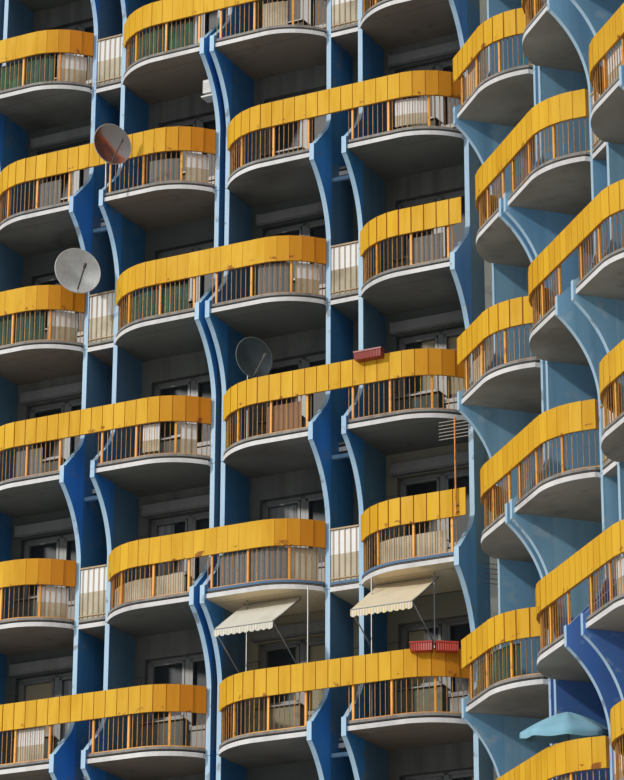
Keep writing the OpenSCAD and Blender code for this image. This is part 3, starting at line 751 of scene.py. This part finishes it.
made, fine = weathered("loggia_board", (224, 223, 220), (166, 162, 154), 0.45, 0.6)
beige_and_shade = made.mix((176, 166, 142), (128, 116, 92), made.noise(1.4, 5.0, 0.4, 0.7))
# The beige lower part is painted shade on the boards.
made.paint(beige_and_shade, above_floor(made) < 0.52)
finish_nodes(made.finish(fine, 0.2, 0.004), "loggia_panels")

loggia_rail_paint = weathered_finish("loggia_rail_paint", (176, 150, 112), (112, 88, 62), 0.5, 0.6, 0.2,
                                     0.002)
loggia_rails, rail_z, rail_h, bar_count, least_gap = ([], []), 0.985, 0.028, 5, 0.3
for wing in ("left", "right"):
    for gap in range(1, bays):
        x0, width = bay_x(wing, gap) + bay_w + fin_t, gaps[wing][(gap + 1) % 2]
        if width < least_gap:
            continue
        for k in range(2, storeys, 2):
            z = floor_z(k)
            for side in ("front", "rear"):
                boxes = [((x0, -0.012, z + rail_z), (x0 + width, 0.016, z + rail_z + rail_h)),
                         ((x0, -0.006, z + 0.05), (x0 + width, 0.012, z + 0.068))]
                for i in range(bar_count):
                    x = x0 + width * (i + 0.5) / bar_count
                    boxes.append(((x - 0.005, -0.004, z), (x + 0.005, 0.008, z + rail_z)))
                for low, high in boxes:
                    add_box(loggia_rails, wing, side, low, high)
new_piece("loggia_railings", *loggia_rails, loggia_rail_paint, "post_orange")

# ---- Windows and balcony doors
# Painted timber: a balcony door with a boarded foot, and a window beside it under one
# head. Many have a roller shutter's box above them on the wall. Frames and boxes are a
# mid grey, darkened as painted shade of the recess.

door_w, window_w, sill, head = 0.8, 0.86, 0.9, 2.15


def shape_of(name, boxes, flip):
    """A hidden mesh of boxes for a tree to set about, mirrored across the bay where flip is set."""
    mesh = ([], [])
    for x0, x1, *rest in boxes:
        if flip:
            x0, x1 = bay_w - x1, bay_w - x0
        add_solid(mesh, box_corners(x0, x1, *rest))
    return hidden_shape(name, *mesh)


def bay_places(flip, picked):
    """The bays' starting corners with their turns, for the sides whose order is as drawn or is flipped."""
    found = []
    for wing, side, angle in ((("left", "front", turn), ("right", "rear", pi - turn)) if flip else
                              (("right", "front", -turn), ("left", "rear", pi + turn))):
        for bay in range(1, bays + 1):
            for k in range(storeys):
                if picked(wing, side, bay, k):
                    s = bay_x(wing, bay) + (bay_w if flip else 0.0)
                    found.append((spot(wing, side, s, 0.0, floor_z(k)), angle))
    return found


def sash(x0, x1, z0, z1, stile, foot, top):
    """The four members of one light's frame."""
    return [(x0, x0 + stile, proud, y1, z0, z1), (x1 - stile, x1, proud, y1, z0, z1),
            (x0, x1, proud, y1, z0, z0 + foot), (x0, x1, proud, y1, z1 - top, z1)]


x0 = (bay_w - door_w - window_w) / 2
xm, x1 = x0 + door_w, x0 + door_w + window_w
y0, y1 = recess + 0.125, recess + 0.195  # the frames' front and back
proud, ledge, back = y0 - 0.012, recess - 0.05, recess - 0.002  # the sashes, the sill's edge, the box's back
door_and_window = [
    (x0, x0 + 0.06, y0, y1, 0.0, head), (xm - 0.05, xm + 0.05, y0, y1, 0.0, head),
    (x1 - 0.06, x1, y0, y1, sill, head), (x0, x1, y0, y1, head - 0.06, head),
    (xm, x1, y0, y1, sill, sill + 0.06), (x0, xm, y0, y1, 0.0, 0.06),
    (x0 + 0.06, xm - 0.05, y0 + 0.02, y1 - 0.01, 0.06, 0.72),
    *sash(x0 + 0.07, xm - 0.06, 0.70, 2.08, 0.06, 0.08, 0.06),
    *sash(xm + 0.06, x1 - 0.07, 0.97, 2.08, 0.05, 0.05, 0.05),
    (xm - 0.02, x1 + 0.04, ledge, y0, sill, sill + 0.025)]
window_alone = [
    (x0, x0 + 0.06, y0, y1, sill, head), (x1 - 0.06, x1, y0, y1, sill, head),
    (x0, x1, y0, y1, head - 0.06, head), (x0, x1, y0, y1, sill, sill + 0.06),
    ((x0 + x1) / 2 - 0.05, (x0 + x1) / 2 + 0.05, proud, y1, sill + 0.06, head - 0.06),
    (x0 - 0.04, x1 + 0.04, ledge, y0, sill, sill + 0.025)]
shutter_box = [(x0 - 0.05, x1 + 0.05, recess - 0.15, back, 2.19, 2.38),
               (x0 - 0.05, x1 + 0.05, recess - 0.12, back, 2.17, 2.40),
               (x0 - 0.06, x0 - 0.045, recess - 0.16, back, 2.16, 2.41),
               (x1 + 0.045, x1 + 0.06, recess - 0.16, back, 2.16, 2.41)]

# Mid grey frames and boxes: darkened as painted shade of the recess.
frame_grey_and_shade = weathered_finish("frame_grey_and_shade", (112, 112, 108), (80, 78, 74), 0.5, 0.4, 0.15, 0.002)
finish_nodes(frame_grey_and_shade, "stair_frames")
shutter_case_and_shade = weathered_finish("shutter_case_and_shade", (118, 118, 114), (74, 72, 68), 0.5, 0.5, 0.12, 0.002)
boxed = random.Random(3)
with_box = {where for side in ("front", "rear") for where in all_balconies(side) if boxed.random() < 0.55}
for flip in (False, True):
    hand = "left_hand" if flip else "right_hand"
    for name, boxes, picked, material in (
            ("windows", door_and_window, lambda *where: where[3] > 0, frame_grey_and_shade),
            ("low_windows", window_alone, lambda *where: where[3] == 0, frame_grey_and_shade),
            ("shutter_boxes", shutter_box, lambda *where: where in with_box, shutter_case_and_shade)):
        shape = shape_of(name + "_shape", boxes, flip)
        at_points(name + "_" + hand, bay_places(flip, picked), shape, material, "frame_white")
        bpy.data.objects.remove(shape)

for shape in (post_shape, bar_shape, panel_shape):
    bpy.data.objects.remove(shape)

# ---- Glass
# Dusty panes, dull from outside, over dark rooms. Curtains hang in some of them,
# their soft folds painted as light and shade.

glass = Shader("window_glass", 0.4)
glass.surface.inputs["Specular IOR Level"].default_value = 0.2
s, z = glass.on_wing()[0], glass.height()
curtain_w = 0.88
cell = glass.chance(s / curtain_w, (z - base_h) / storey_h, 5.0)
pale_drawn = glass.chance(s / curtain_w, (z - base_h) / storey_h, 9.0) > 0.7
# Light and dark stripes of the curtains: painted light and shade of their folds.
folds = glass.noise((16.0, 16.0, 0.4), 2.0, 0.3, 0.7)
curtain = glass.mix((150, 150, 148), (96, 96, 98), folds)
curtain = glass.mix(curtain, (150, 138, 112), pale_drawn)
dark = glass.mix((20, 24, 26), (44, 50, 52), glass.noise(0.35, 2.0, 0.35, 0.65))
drawn = (cell > 0.74) * (above_floor(glass) > 0.3 + cell * 0.6)
glass.colour = glass.mix(dark, curtain, drawn)
finish_nodes(glass.finish(folds, 0.05, 0.01, roughness=0.4 + drawn * 0.2), "glass")

# ---- Entrance and lift house doors
# Plain steel doors, flush in their openings at the entrance and on the lift house.
# Their dark grey paint is dirty at the foot.

finish_nodes(weathered_finish("door_paint", (84, 86, 88), (46, 46, 46), 0.6, 0.5, 0.2, 0.003), "doors")

# ---- Boards behind the bars
# Flat sheets that flats have tied inside their railings for privacy: white with a beige
# lower part that is painted shade, like the loggias, or beige, brown, grey or green.

made, fine = weathered("railing_board", (218, 216, 212), (168, 164, 156), 0.4, 0.75)
kind = made.stored("kind")
beige_and_shade = made.mix((182, 172, 148), (140, 128, 104), made.noise(1.4, 5.0, 0.4, 0.7))
# The beige lower part of the white boards is painted shade.
made.paint(beige_and_shade, above_floor(made) < 0.33)
for number, colour in enumerate((beige_and_shade, (132, 96, 66), (104, 106, 104), (58, 78, 66))):
    made.paint(colour, kind > number + 0.5)
made.paint((60, 54, 46), fine * 0.15)
board_finish = made.finish(fine, 0.2, 0.003)


def resampled(inset, start, end, step):
    """Points and inward directions along a balcony's edge between two distances from its joined end."""
    path = [(x, y, 0.0) for x, y in lobe(inset)]
    count = max(2, round((end - start) / step))
    found = points_on(path, [start + (end - start) * i / count for i in range(count + 1)])
    return [((p[0], p[1]), (-sin(a), cos(a))) for p, a in found]


board_inset, board_t = 0.112, 0.006


def board(mesh, where, start, end, low, high, kind):
    """Adds a thin board that follows the railing."""
    verts, faces, kinds = mesh
    n = len(verts)
    line = resampled(board_inset, start, end, 0.12)
    for (x, y), (nx, ny) in line:
        for back in (0.0, board_t):
            for z in (low, high):
                verts.append(on_balcony(*where, x + nx * back, y + ny * back, z))
                kinds.append(float(kind))
    for i in range(len(line) - 1):
        a = n + 4 * i
        faces += [(a, a + 4, a + 5, a + 1), (a + 6, a + 2, a + 3, a + 7), (a + 1, a + 5, a + 7, a + 3),
                  (a + 4, a, a + 2, a + 6)]
    end_at = n + 4 * (len(line) - 1)
    faces += [(n, n + 1, n + 3, n + 2), (end_at + 1, end_at, end_at + 2, end_at + 3)]


# On some front balconies, by wing, bay and floor: each board's start and end along the
# edge, its lower and upper edge above the floor, and its kind of paint.
seen_boards = {
    ("left", 4, 10): [(1.55, 2.15, 0.03, 0.64, 0)],
    ("left", 3, 9): [(1.68, 2.15, 0.03, 0.64, 0), (0.95, 1.60, 0.03, 0.52, 3)],
    ("left", 2, 9): [],
    ("left", 1, 9): [(0.95, 1.62, 0.10, 0.64, 0)],
    ("left", 2, 10): [(1.0, 1.5, 0.03, 0.57, 1)],
    ("left", 3, 10): [],
    ("left", 4, 9): [(0.3, 0.9, 0.03, 0.57, 3)],
    ("left", 4, 8): [(1.55, 2.15, 0.03, 0.64, 0)],
    ("left", 3, 8): [],
    ("left", 2, 8): [(1.68, 2.15, 0.03, 0.64, 0), (0.95, 1.64, 0.03, 0.64, 3)],
    ("left", 1, 8): [(0.2, 0.9, 0.03, 0.57, 3)],
    ("left", 4, 7): [(0.5, 1.1, 0.03, 0.57, 3)],
    ("left", 3, 7): [(0.95, 1.3, 0.10, 0.64, 0), (1.70, 2.0, 0.03, 0.64, 0)],
    ("left", 2, 7): [(0.22, 0.92, 0.03, 0.57, 2)],
    ("left", 1, 7): [],
    ("left", 4, 6): [(1.55, 2.15, 0.03, 0.64, 0)],
    ("left", 3, 6): [(0.2, 2.0, 0.03, 0.42, 1)],
    ("left", 2, 6): [(1.60, 2.15, 0.03, 0.64, 1), (0.22, 1.58, 0.03, 0.63, 3)],
    ("left", 1, 6): [(0.2, 1.6, 0.03, 0.46, 1)],
    ("left", 2, 5): [], ("left", 1, 5): [], ("right", 2, 8): [],
    ("right", 1, 9): [(0.2, 0.9, 0.03, 0.57, 1)], ("right", 1, 8): [],
    ("right", 1, 7): [(0.3, 0.9, 0.03, 0.52, 1)], ("right", 1, 6): [], ("right", 1, 5): []}
rng = random.Random(5)
boards = ([], [], [])
for side in ("front", "rear"):
    for where in all_balconies(side):
        wing, _, bay, k = where
        wanted = seen_boards.get((wing, bay, k)) if side == "front" else None
        chance, kind, start = rng.random(), rng.choice((0, 1, 1, 2, 3, 4)), rng.choice((0.22, 0.98))
        if wanted is None:
            wanted = [(start, start + 0.64, 0.03, rng.choice((0.48, 0.64)), kind)] if chance < 0.4 else []
        for start, end, low, high, kind in wanted:
            board(boards, where, start, end, low, high, kind)
piece = new_piece("railing_boards", boards[0], boards[1], board_finish, "panel_pale", settle=True)
kinds = piece.data.attributes.new("kind", "FLOAT", "POINT")
kinds.data.foreach_set("value", boards[2])

# ---- Cloth screens
# Thin green shade cloth, tied inside the bars by its top edge, hanging in shallow
# upright folds.

made = Shader("shade_cloth", 0.9)
weave = made.noise((260.0, 260.0, 320.0), 2.0)
folds = made.noise((9.0, 9.0, 0.8), 3.0, 0.3, 0.7)
# Darker and lighter upright stripes: painted shade and light of the folds.
made.colour = made.mix((62, 92, 76), (34, 56, 48), folds)
made.paint((96, 118, 96), made.noise(1.8, 4.0, 0.55, 0.75) * 0.5)
shade_cloth = made.finish(weave, 0.3, 0.001)
cloth_inset, step, rows, low = 0.120, 0.02, 6, 0.035


def grid_faces(rows, width, first=0, closed=False):
    """Faces between rows of points that follow each other in a mesh, each row a width long."""
    faces = []
    for j in range(rows):
        for i in range(width if closed else width - 1):
            a, b = first + j * width + i, first + j * width + (i + 1) % width
            faces.append((a, b, b + width, a + width))
    return faces


for number, (where, start, end, high) in enumerate((
        (("left", "front", 4, 10), 0.12, 1.50, 0.63), (("left", "front", 3, 10), 0.25, 2.05, 0.62),
        (("left", "front", 4, 8), 0.12, 1.50, 0.63), (("left", "front", 3, 8), 0.25, 2.05, 0.61),
        (("right", "front", 1, 5), 0.20, 1.75, 0.62))):
    line = resampled(cloth_inset, start, end, step)
    verts = []
    for j in range(rows + 1):
        low_share = 1 - j / rows
        for i, ((x, y), (nx, ny)) in enumerate(line):
            d = i * step
            fold = (0.009 * sin(d * 46) + 0.006 * sin(d * 19 + number)) * (0.35 + 0.65 * low_share)
            sag = 0.012 * abs(sin(d * 7.1)) * (1 - low_share)
            verts.append(on_balcony(*where, x + nx * (fold + 0.012), y + ny * (fold + 0.012),
                                    low + (high - low) * j / rows - sag))
    cloth = new_piece("shade_cloth_%d" % (number + 1), verts, grid_faces(rows, len(line)), shade_cloth,
                      "awning_cloth", smooth=True, settle=True)
    (end - start) * 1.05
    high - low

# ---- Dishes
# Pressed steel dishes on short poles: one gone to rust, one pale and one slate grey.
# Each has a rolled rim, and its feed stands on an arm from the lower edge.

# Where each dish's middle is along the wing, out from the fins' edges and up, its turn
# and tilt in degrees, and its size.
dishes = {
    "rusty_dish": (bay_x("left", 3) + bay_w - 0.385, 1.135, floor_z(9) + 0.732, -60, -3, 1.02),
    "pale_dish": (bay_x("left", 4) - fin_t / 2 - 0.095, 0.600, floor_z(8) + 1.25, -50, 0, 1.15),
    "dark_dish": (bay_x("left", 2) + bay_w - turn_w + 0.285, 0.530, floor_z(7) + 1.59, -60, -3, 0.98)}


def dish_turn(name):
    """How a dish that faces up is turned and set on the left wing."""
    s, out, z, turned, tilt, size = dishes[name]
    place = Matrix.Translation((s, -out, z)) @ Matrix.Rotation(radians(turned), 4, "Z") @ \
        Matrix.Rotation(radians(90 - tilt), 4, "X") @ Matrix.Scale(size, 4)
    mirrored = Matrix.Scale(-1, 4, (1, 0, 0)) @ Matrix.Rotation(-turn, 4, "Z")
    return Matrix.Translation((0, -fold_y, 0)) @ mirrored @ place


def dish_paint(name, dish):
    """Starts a dish's material, placed from the dish's middle, and tells how far out of the bowl."""
    made = Shader(name, 0.5)
    middle = dish_turn(dish) @ Vector((0, 0, 0.05))
    made.place = made.vectors("SUBTRACT", made.place, tuple(middle))
    outward = dish_turn(dish).to_3x3() @ Vector((0, 0, 1))
    return made, made.vectors("DOT_PRODUCT", made.place, tuple(outward.normalized()), "Value")


sideways = (0.644, 0.765, 0)  # level, and square to the way the dishes face
made, ahead = dish_paint("dish_rust", "rusty_dish")
across, up = made.vectors("DOT_PRODUCT", made.place, sideways, "Value"), made.height()
patches = made.noise(3.2, 6.0, 0.3, 0.7)
made.patchy((150, 146, 144), (110, 106, 106), 2.0, 4.0)
rust = made.mix((190, 92, 38), (104, 50, 30), made.noise(5.0, 6.0, 0.35, 0.65))
made.paint(rust, made.spread(patches * 0.24 - up * 0.75 - across * 0.5, 0.02, 0.14))
# The bowl's left and lower side is darkened: painted shade inside the bowl.
shaded_side = made.spread(across * -0.9 - up * 0.45 + patches * 0.15, 0.12, 0.26)
made.paint((62, 40, 38), shaded_side * 0.9)
made.paint((92, 80, 74), ahead > 0.08)
finish_nodes(made.finish(patches, 0.3, 0.004), "rusty_dish")

made, ahead = dish_paint("dish_pale", "pale_dish")
made.patchy((186, 187, 184), (142, 143, 140), 2.4, 5.0, 0.35, 0.75)
streak = made.noise((14.0, 14.0, 1.5), 5.0, 0.55, 0.8)
made.paint((132, 120, 104), streak * 0.4)
made.paint((70, 66, 62), ahead > 0.11)
finish_nodes(made.finish(streak, 0.15, 0.003), "pale_dish")

made, ahead = dish_paint("dish_slate", "dark_dish")
made.patchy((62, 74, 78), (38, 46, 48), 2.4, 5.0, 0.3, 0.7)
made.paint((104, 106, 104), made.noise(6.0, 6.0, 0.64, 0.72) * 0.5)
made.paint((92, 92, 88), ahead > 0.11)
finish_nodes(made.finish(made.noise(40.0, 3.0), 0.15, 0.002), "dark_dish")

pole_zinc = weathered_finish("pole_zinc", (158, 158, 158), (104, 96, 86), 0.5, 0.4, 0.15, 0.002)
pole_zinc.node_tree.nodes["Principled BSDF"].inputs["Metallic"].default_value = 0.5
finish_nodes(pole_zinc, "dish_poles")


def ring_mesh(turned, radius, thick, height, around=64, sides=8):
    """A rolled edge: a closed ring of round section, put in place by a matrix."""
    verts, faces = [], []
    for i in range(around):
        a = 2 * pi * i / around
        for j in range(sides):
            b = 2 * pi * j / sides
            r = radius + thick * cos(b)
            verts.append(tuple(turned @ Vector((r * cos(a), r * sin(a), height + thick * sin(b)))))
            faces.append((i * sides + j, (i + 1) % around * sides + j,
                          (i + 1) % around * sides + (j + 1) % sides, i * sides + (j + 1) % sides))
    return verts, faces


bowl_r, dish_r = 0.85, 0.4
rim_z = bowl_r - sqrt(bowl_r ** 2 - dish_r ** 2) + 0.006
for name, colour in (("rusty_dish", (178, 166, 158)), ("pale_dish", (206, 204, 200)),
                     ("dark_dish", (92, 104, 106))):
    rim_paint = weathered_finish(name + "_rim", colour, (96, 74, 60), 0.5, 0.45, 0.15, 0.002)
    new_piece(name + "_rim", *ring_mesh(dish_turn(name), dish_r, 0.009, rim_z), rim_paint, "dish_pale",
              smooth=True, settle=True)

# ---- Awnings
# Striped cotton on a folding frame under the slab above. The cloth is stretched from
# its upper edge over a front rod, and a scalloped valance hangs from it.

awning_w, awning_out, awning_drop, valance_h, cloth_z = 1.2, 1.12, 0.76, 0.15, -0.014
awning_x = (0.62, 0.48)
awning_z = floor_z(6) - slab_t
columns, rows, valance_rows, scallops = 60, 12, 3, 10


def by_bend(s, out, z):
    """A point in front of the left wing."""
    return spot("left", "front", s, -out, z)


def rod_mesh(lines, radius, sides=8):
    """Straight round rods between pairs of points."""
    verts, faces = [], []
    for a, b in lines:
        a, b = Vector(a), Vector(b)
        turned = (b - a).to_track_quat("Z", "Y").to_matrix()
        n = len(verts)
        angles = [2 * pi * i / sides for i in range(sides)]
        for end in (a, b):
            verts += [tuple(end + turned @ Vector((radius * cos(v), radius * sin(v), 0))) for v in angles]
        faces += grid_faces(1, sides, n, closed=True)
        faces += [tuple(n + i for i in reversed(range(sides))), tuple(n + sides + i for i in range(sides))]
    return verts, faces


def cloth_point(u, j):
    """How far out and up from its upper edge the cloth lies at row j, and u across."""
    slope = awning_drop - 0.016
    if j <= rows:
        v = j / rows
        sag = 0.022 * sin(pi * v) * (0.6 + 0.4 * cos(2 * pi * (u * 3 + 0.5)))
        return 0.015 + (awning_out - 0.03) * v, cloth_z - slope * v - sag * 0.6
    edge = abs(sin(pi * scallops * u))
    return (awning_out - 0.015 + 0.004 * sin(u * 50),
            cloth_z - slope - (j - rows) / valance_rows * (valance_h - 0.035 + 0.03 * edge))


colours = ((204, 174, 108), (186, 180, 160))
props = (((0.92, 0.25), (2.05, 0.45)), ((3.288, 0.507), (4.675, 0.238)))
for bay in (1, 2):
    s0 = bay_x("left", bay) + awning_x[bay - 1]
    s1 = s0 + awning_w
    made = Shader("awning_cotton_%d" % bay, 0.9)
    across = made.node("ShaderNodeSeparateXYZ", None, {0: made.node("ShaderNodeUVMap", {"uv_map": "cloth"})},
                       out="X")
    made.colour = made.mix((208, 204, 192), colours[bay - 1], ((across * 22.0) % 1.0 > 0.5) * 0.85)
    made.paint((164, 158, 138), made.noise(2.5, 5.0, 0.5, 0.8) * 0.4)
    cotton = made.finish(made.noise((420.0, 420.0, 420.0), 2.0), 0.25, 0.001)
    verts = []
    for j in range(rows + valance_rows + 1):
        for i in range(columns + 1):
            out, z = cloth_point(i / columns, j)
            verts.append(by_bend(s0 + i / columns * awning_w, out, awning_z + z))
    cloth = new_piece("awning_cloth_%d" % bay, verts, grid_faces(rows + valance_rows, columns + 1), cotton,
                      "awning_cloth", smooth=True, settle=True)
    layer = cloth.data.uv_layers.new(name="cloth")
    for loop in cloth.data.loops:
        layer.data[loop.index].uv = (loop.vertex_index % (columns + 1) / columns,
                                     loop.vertex_index // (columns + 1) / (rows + valance_rows))
    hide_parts("awnings")
    "awning_frame_%d" % bay
    rod_out, rod_z = awning_out - 0.02, awning_z - awning_drop - 0.004
    lines = [(by_bend(s0, rod_out, rod_z), by_bend(s1, rod_out, rod_z)),
             (by_bend(s0, 0.01, awning_z - 0.03), by_bend(s1, 0.01, awning_z - 0.03))]
    for s in (s0 + 0.01, s1 - 0.01):
        lines += [(by_bend(s, rod_out, rod_z), by_bend(s, 0.01, awning_z - 0.05)),
                  (by_bend(s, rod_out - 0.02, rod_z), by_bend(s, 0.05, rod_z - 0.62))]
    lines += [(by_bend(s, out, floor_z(5)), by_bend(s, out, awning_z)) for s, out in props[bay - 1]]
    new_piece("awning_frame_%d" % bay, *rod_mesh(lines, 0.013), pole_zinc, "pole_steel")

# ---- Box on the wall shelf
# A small cooling unit in a white case with slots in its front. It stands on a steel
# shelf at a fin's side.

made, fine = weathered("unit_case", (214, 212, 206), (160, 156, 148), 0.5, 0.5)
z = made.height()
slots = ((z * 28.0) % 1.0 < 0.3) * made.between(z, floor_z(9) + 2.02, floor_z(9) + 2.20)
made.paint((90, 88, 84), slots * 0.8)
finish_nodes(made.finish(fine - slots, 0.2, 0.004), "wall_unit")

# ---- Aerials
# Aluminium rods across a mast of steel tube that is painted orange, clamped to what
# is behind it.

made = Shader("aerial_metal", 0.45, 0.4)
made.patchy((206, 126, 44), (166, 98, 40), 3.0, 3.0, 0.3, 0.7)
mast_r = 0.024
axis = spot("left", "front", corners["left"] + fin_t / 2, 0.025 - front_out - 0.06, 0.0)
in_plan = made.vectors("MULTIPLY", made.place, (1, 1, 0))
made.paint((92, 88, 84), made.vectors("DISTANCE", in_plan, axis, "Value") > mast_r)
made.paint((80, 66, 56), made.noise(12.0, 5.0, 0.5, 0.7) * 0.6)
finish_nodes(made.finish(made.noise(50.0), 0.2, 0.002), "aerials")

# ---- Flower boxes
# Three ribbed boxes of red plastic with a rolled edge, hooked over the band and
# filled with earth.

box_l, box_d, hung_z, band_t = 0.40, 0.19, 1.065, 0.025


def box_spots(x, y, z):
    """The three boxes' places for a point of a box: two on a band's curve and one on a straight."""
    r = turn_r - band_t
    first, apart = radians(18), 2 * atan((box_l + 0.012) / 2 / r)
    found = []
    for a in (first, first + apart):
        c, s = cos(a), sin(a)
        found.append(spot("left", "front", bay_x("left", 1) + turn_w - r * s + x * c + y * s,
                          arc_y - r * c - x * s + y * c, floor_z(5) + hung_z + z))
    found.append(spot("left", "front", bay_x("left", 1) + 0.77 * bay_w + 1.4 * x, y - front_out + band_t,
                      floor_z(7) + hung_z + z))
    return found


ribs, short_ribs, steps = 9, 4, 72
box_edges = ((-1, -1), (1, -1), (1, 1), (-1, 1), (-1, -1))
rings = []
for z, inset in ((0.0, 0.012), (0.004, 0.006), (0.135, 0.003), (0.138, -0.004), (0.168, -0.004), (0.170, 0.0),
                 (0.168, 0.012), (0.11, 0.014)):
    ring = []
    for i in range(steps):
        edge, t = divmod(i / steps * 4, 1)
        edge = int(edge)
        (ax, ay), (bx, by) = box_edges[edge], box_edges[edge + 1]
        x, y = ax + (bx - ax) * t, ay + (by - ay) * t
        groove = 0.009 * (0.5 - 0.5 * cos(2 * pi * t * (short_ribs if edge % 2 else ribs)))
        here = inset + (groove if 0.003 < z < 0.136 else 0.0)
        ring.append((x * (box_l / 2 - here - 0.004), -box_d / 2 + y * (box_d / 2 - here - 0.004), z))
    rings.append(ring)
verts, faces = [], []
for which in range(3):
    n = len(verts)
    for ring in rings:
        verts += [box_spots(*p)[which] for p in ring]
    faces += grid_faces(len(rings) - 1, steps, n, closed=True)
    faces.append(tuple(n + i for i in reversed(range(steps))))
    faces.append(tuple(n + (len(rings) - 1) * steps + i for i in range(steps)))
made = Shader("box_plastic", 0.45)
made.patchy((180, 54, 32), (142, 44, 30), 4.0, 4.0, 0.35, 0.7)
made.paint((128, 44, 34), made.height() > floor_z(7))
earth = made.mix((70, 50, 36), (44, 34, 26), made.noise(40.0, 4.0))
made.paint(earth, (made.facing((0, 0, 1)) > 0.7) * (above_floor(made) < hung_z + 0.145))
box_plastic = made.finish(made.noise(60.0), 0.15, 0.002)
piece = new_piece("ribbed_flower_boxes", verts, faces, box_plastic, "box_red", settle=True)
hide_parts("flower_boxes")

# ---- Parasol
# Teal cotton stretched over eight ribs on a steel pole in a round foot. Above its
# knuckle the pole leans forward, towards the right wing's end.

ribs, rib_l, knuckle_drop, foot_h, foot_r = 8, 0.745, 0.30, 0.055, 0.185
top_z, rim_drop, canopy_r, hem = floor_z(4) + 1.78, 0.33, 0.76, 0.045
around, down, hem_rows = 48, 10, 2
middle = Vector(spot("right", "front", bay_x("right", 2) + 1.05, -0.25, 0.0))
knuckle = middle + Vector((0, 0, top_z - knuckle_drop))
lean = Matrix.Translation(knuckle) @ Matrix.Rotation(radians(9), 4, Vector((0.64, 0.77, 0))) @ \
    Matrix.Translation(-knuckle)


def leaned(r, a, z):
    """A point at a radius, an angle and a height about the pole, after the lean."""
    return lean @ Vector((middle.x + r * cos(a), middle.y + r * sin(a), z))


verts = [tuple(leaned(0, 0, top_z))]
for j in range(1, down + hem_rows + 1):
    for i in range(around):
        a = 2 * pi * i / around
        between = 0.5 - 0.5 * cos(ribs * a)
        v = min(j / down, 1.0)
        off_middle = a % (2 * pi / ribs) - pi / ribs
        r = canopy_r * v * cos(pi / ribs) / cos(off_middle)
        z = top_z - rim_drop * v ** 1.45 - 0.012 * between * sin(pi * min(v, 0.98))
        if j > down:
            z -= hem * (j - down) * (1 + 0.25 * between)
            r *= 1.004
        verts.append(tuple(leaned(r, a, z)))
faces = [(0, 1 + i, 1 + (i + 1) % around) for i in range(around)]
faces += [(a, d, c, b) for a, b, c, d in grid_faces(down + hem_rows - 1, around, 1, closed=True)]
made = Shader("parasol_cotton", 0.9)
made.patchy((138, 182, 198), (112, 162, 180), 1.6, 4.0, 0.35, 0.7)
weave = made.noise((420.0, 420.0, 420.0), 2.0)
parasol_cloth = new_piece("parasol_cloth", verts, faces, made.finish(weave, 0.25, 0.001), "parasol_teal",
                          smooth=True, settle=True)
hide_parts("parasol")
foot, tip = middle + Vector((0, 0, floor_z(4))), leaned(0, 0, top_z - 0.03)
rib_ends = [leaned(rib_l, 2 * pi * i / ribs, top_z - rim_drop - 0.012) for i in range(ribs)]
verts, faces = rod_mesh([(tip, end) for end in rib_ends], 0.006, 6)
for p, q, radius in ((foot, knuckle, 0.021), (knuckle, leaned(0, 0, top_z - 0.008), 0.016),
                     (foot, foot + Vector((0, 0, foot_h)), foot_r)):
    more_verts, more_faces = rod_mesh([(p, q)], radius, 24)
    faces += [tuple(len(verts) + i for i in f) for f in more_faces]
    verts += more_verts
new_piece("parasol_stand", verts, faces, pole_zinc, "pole_steel")
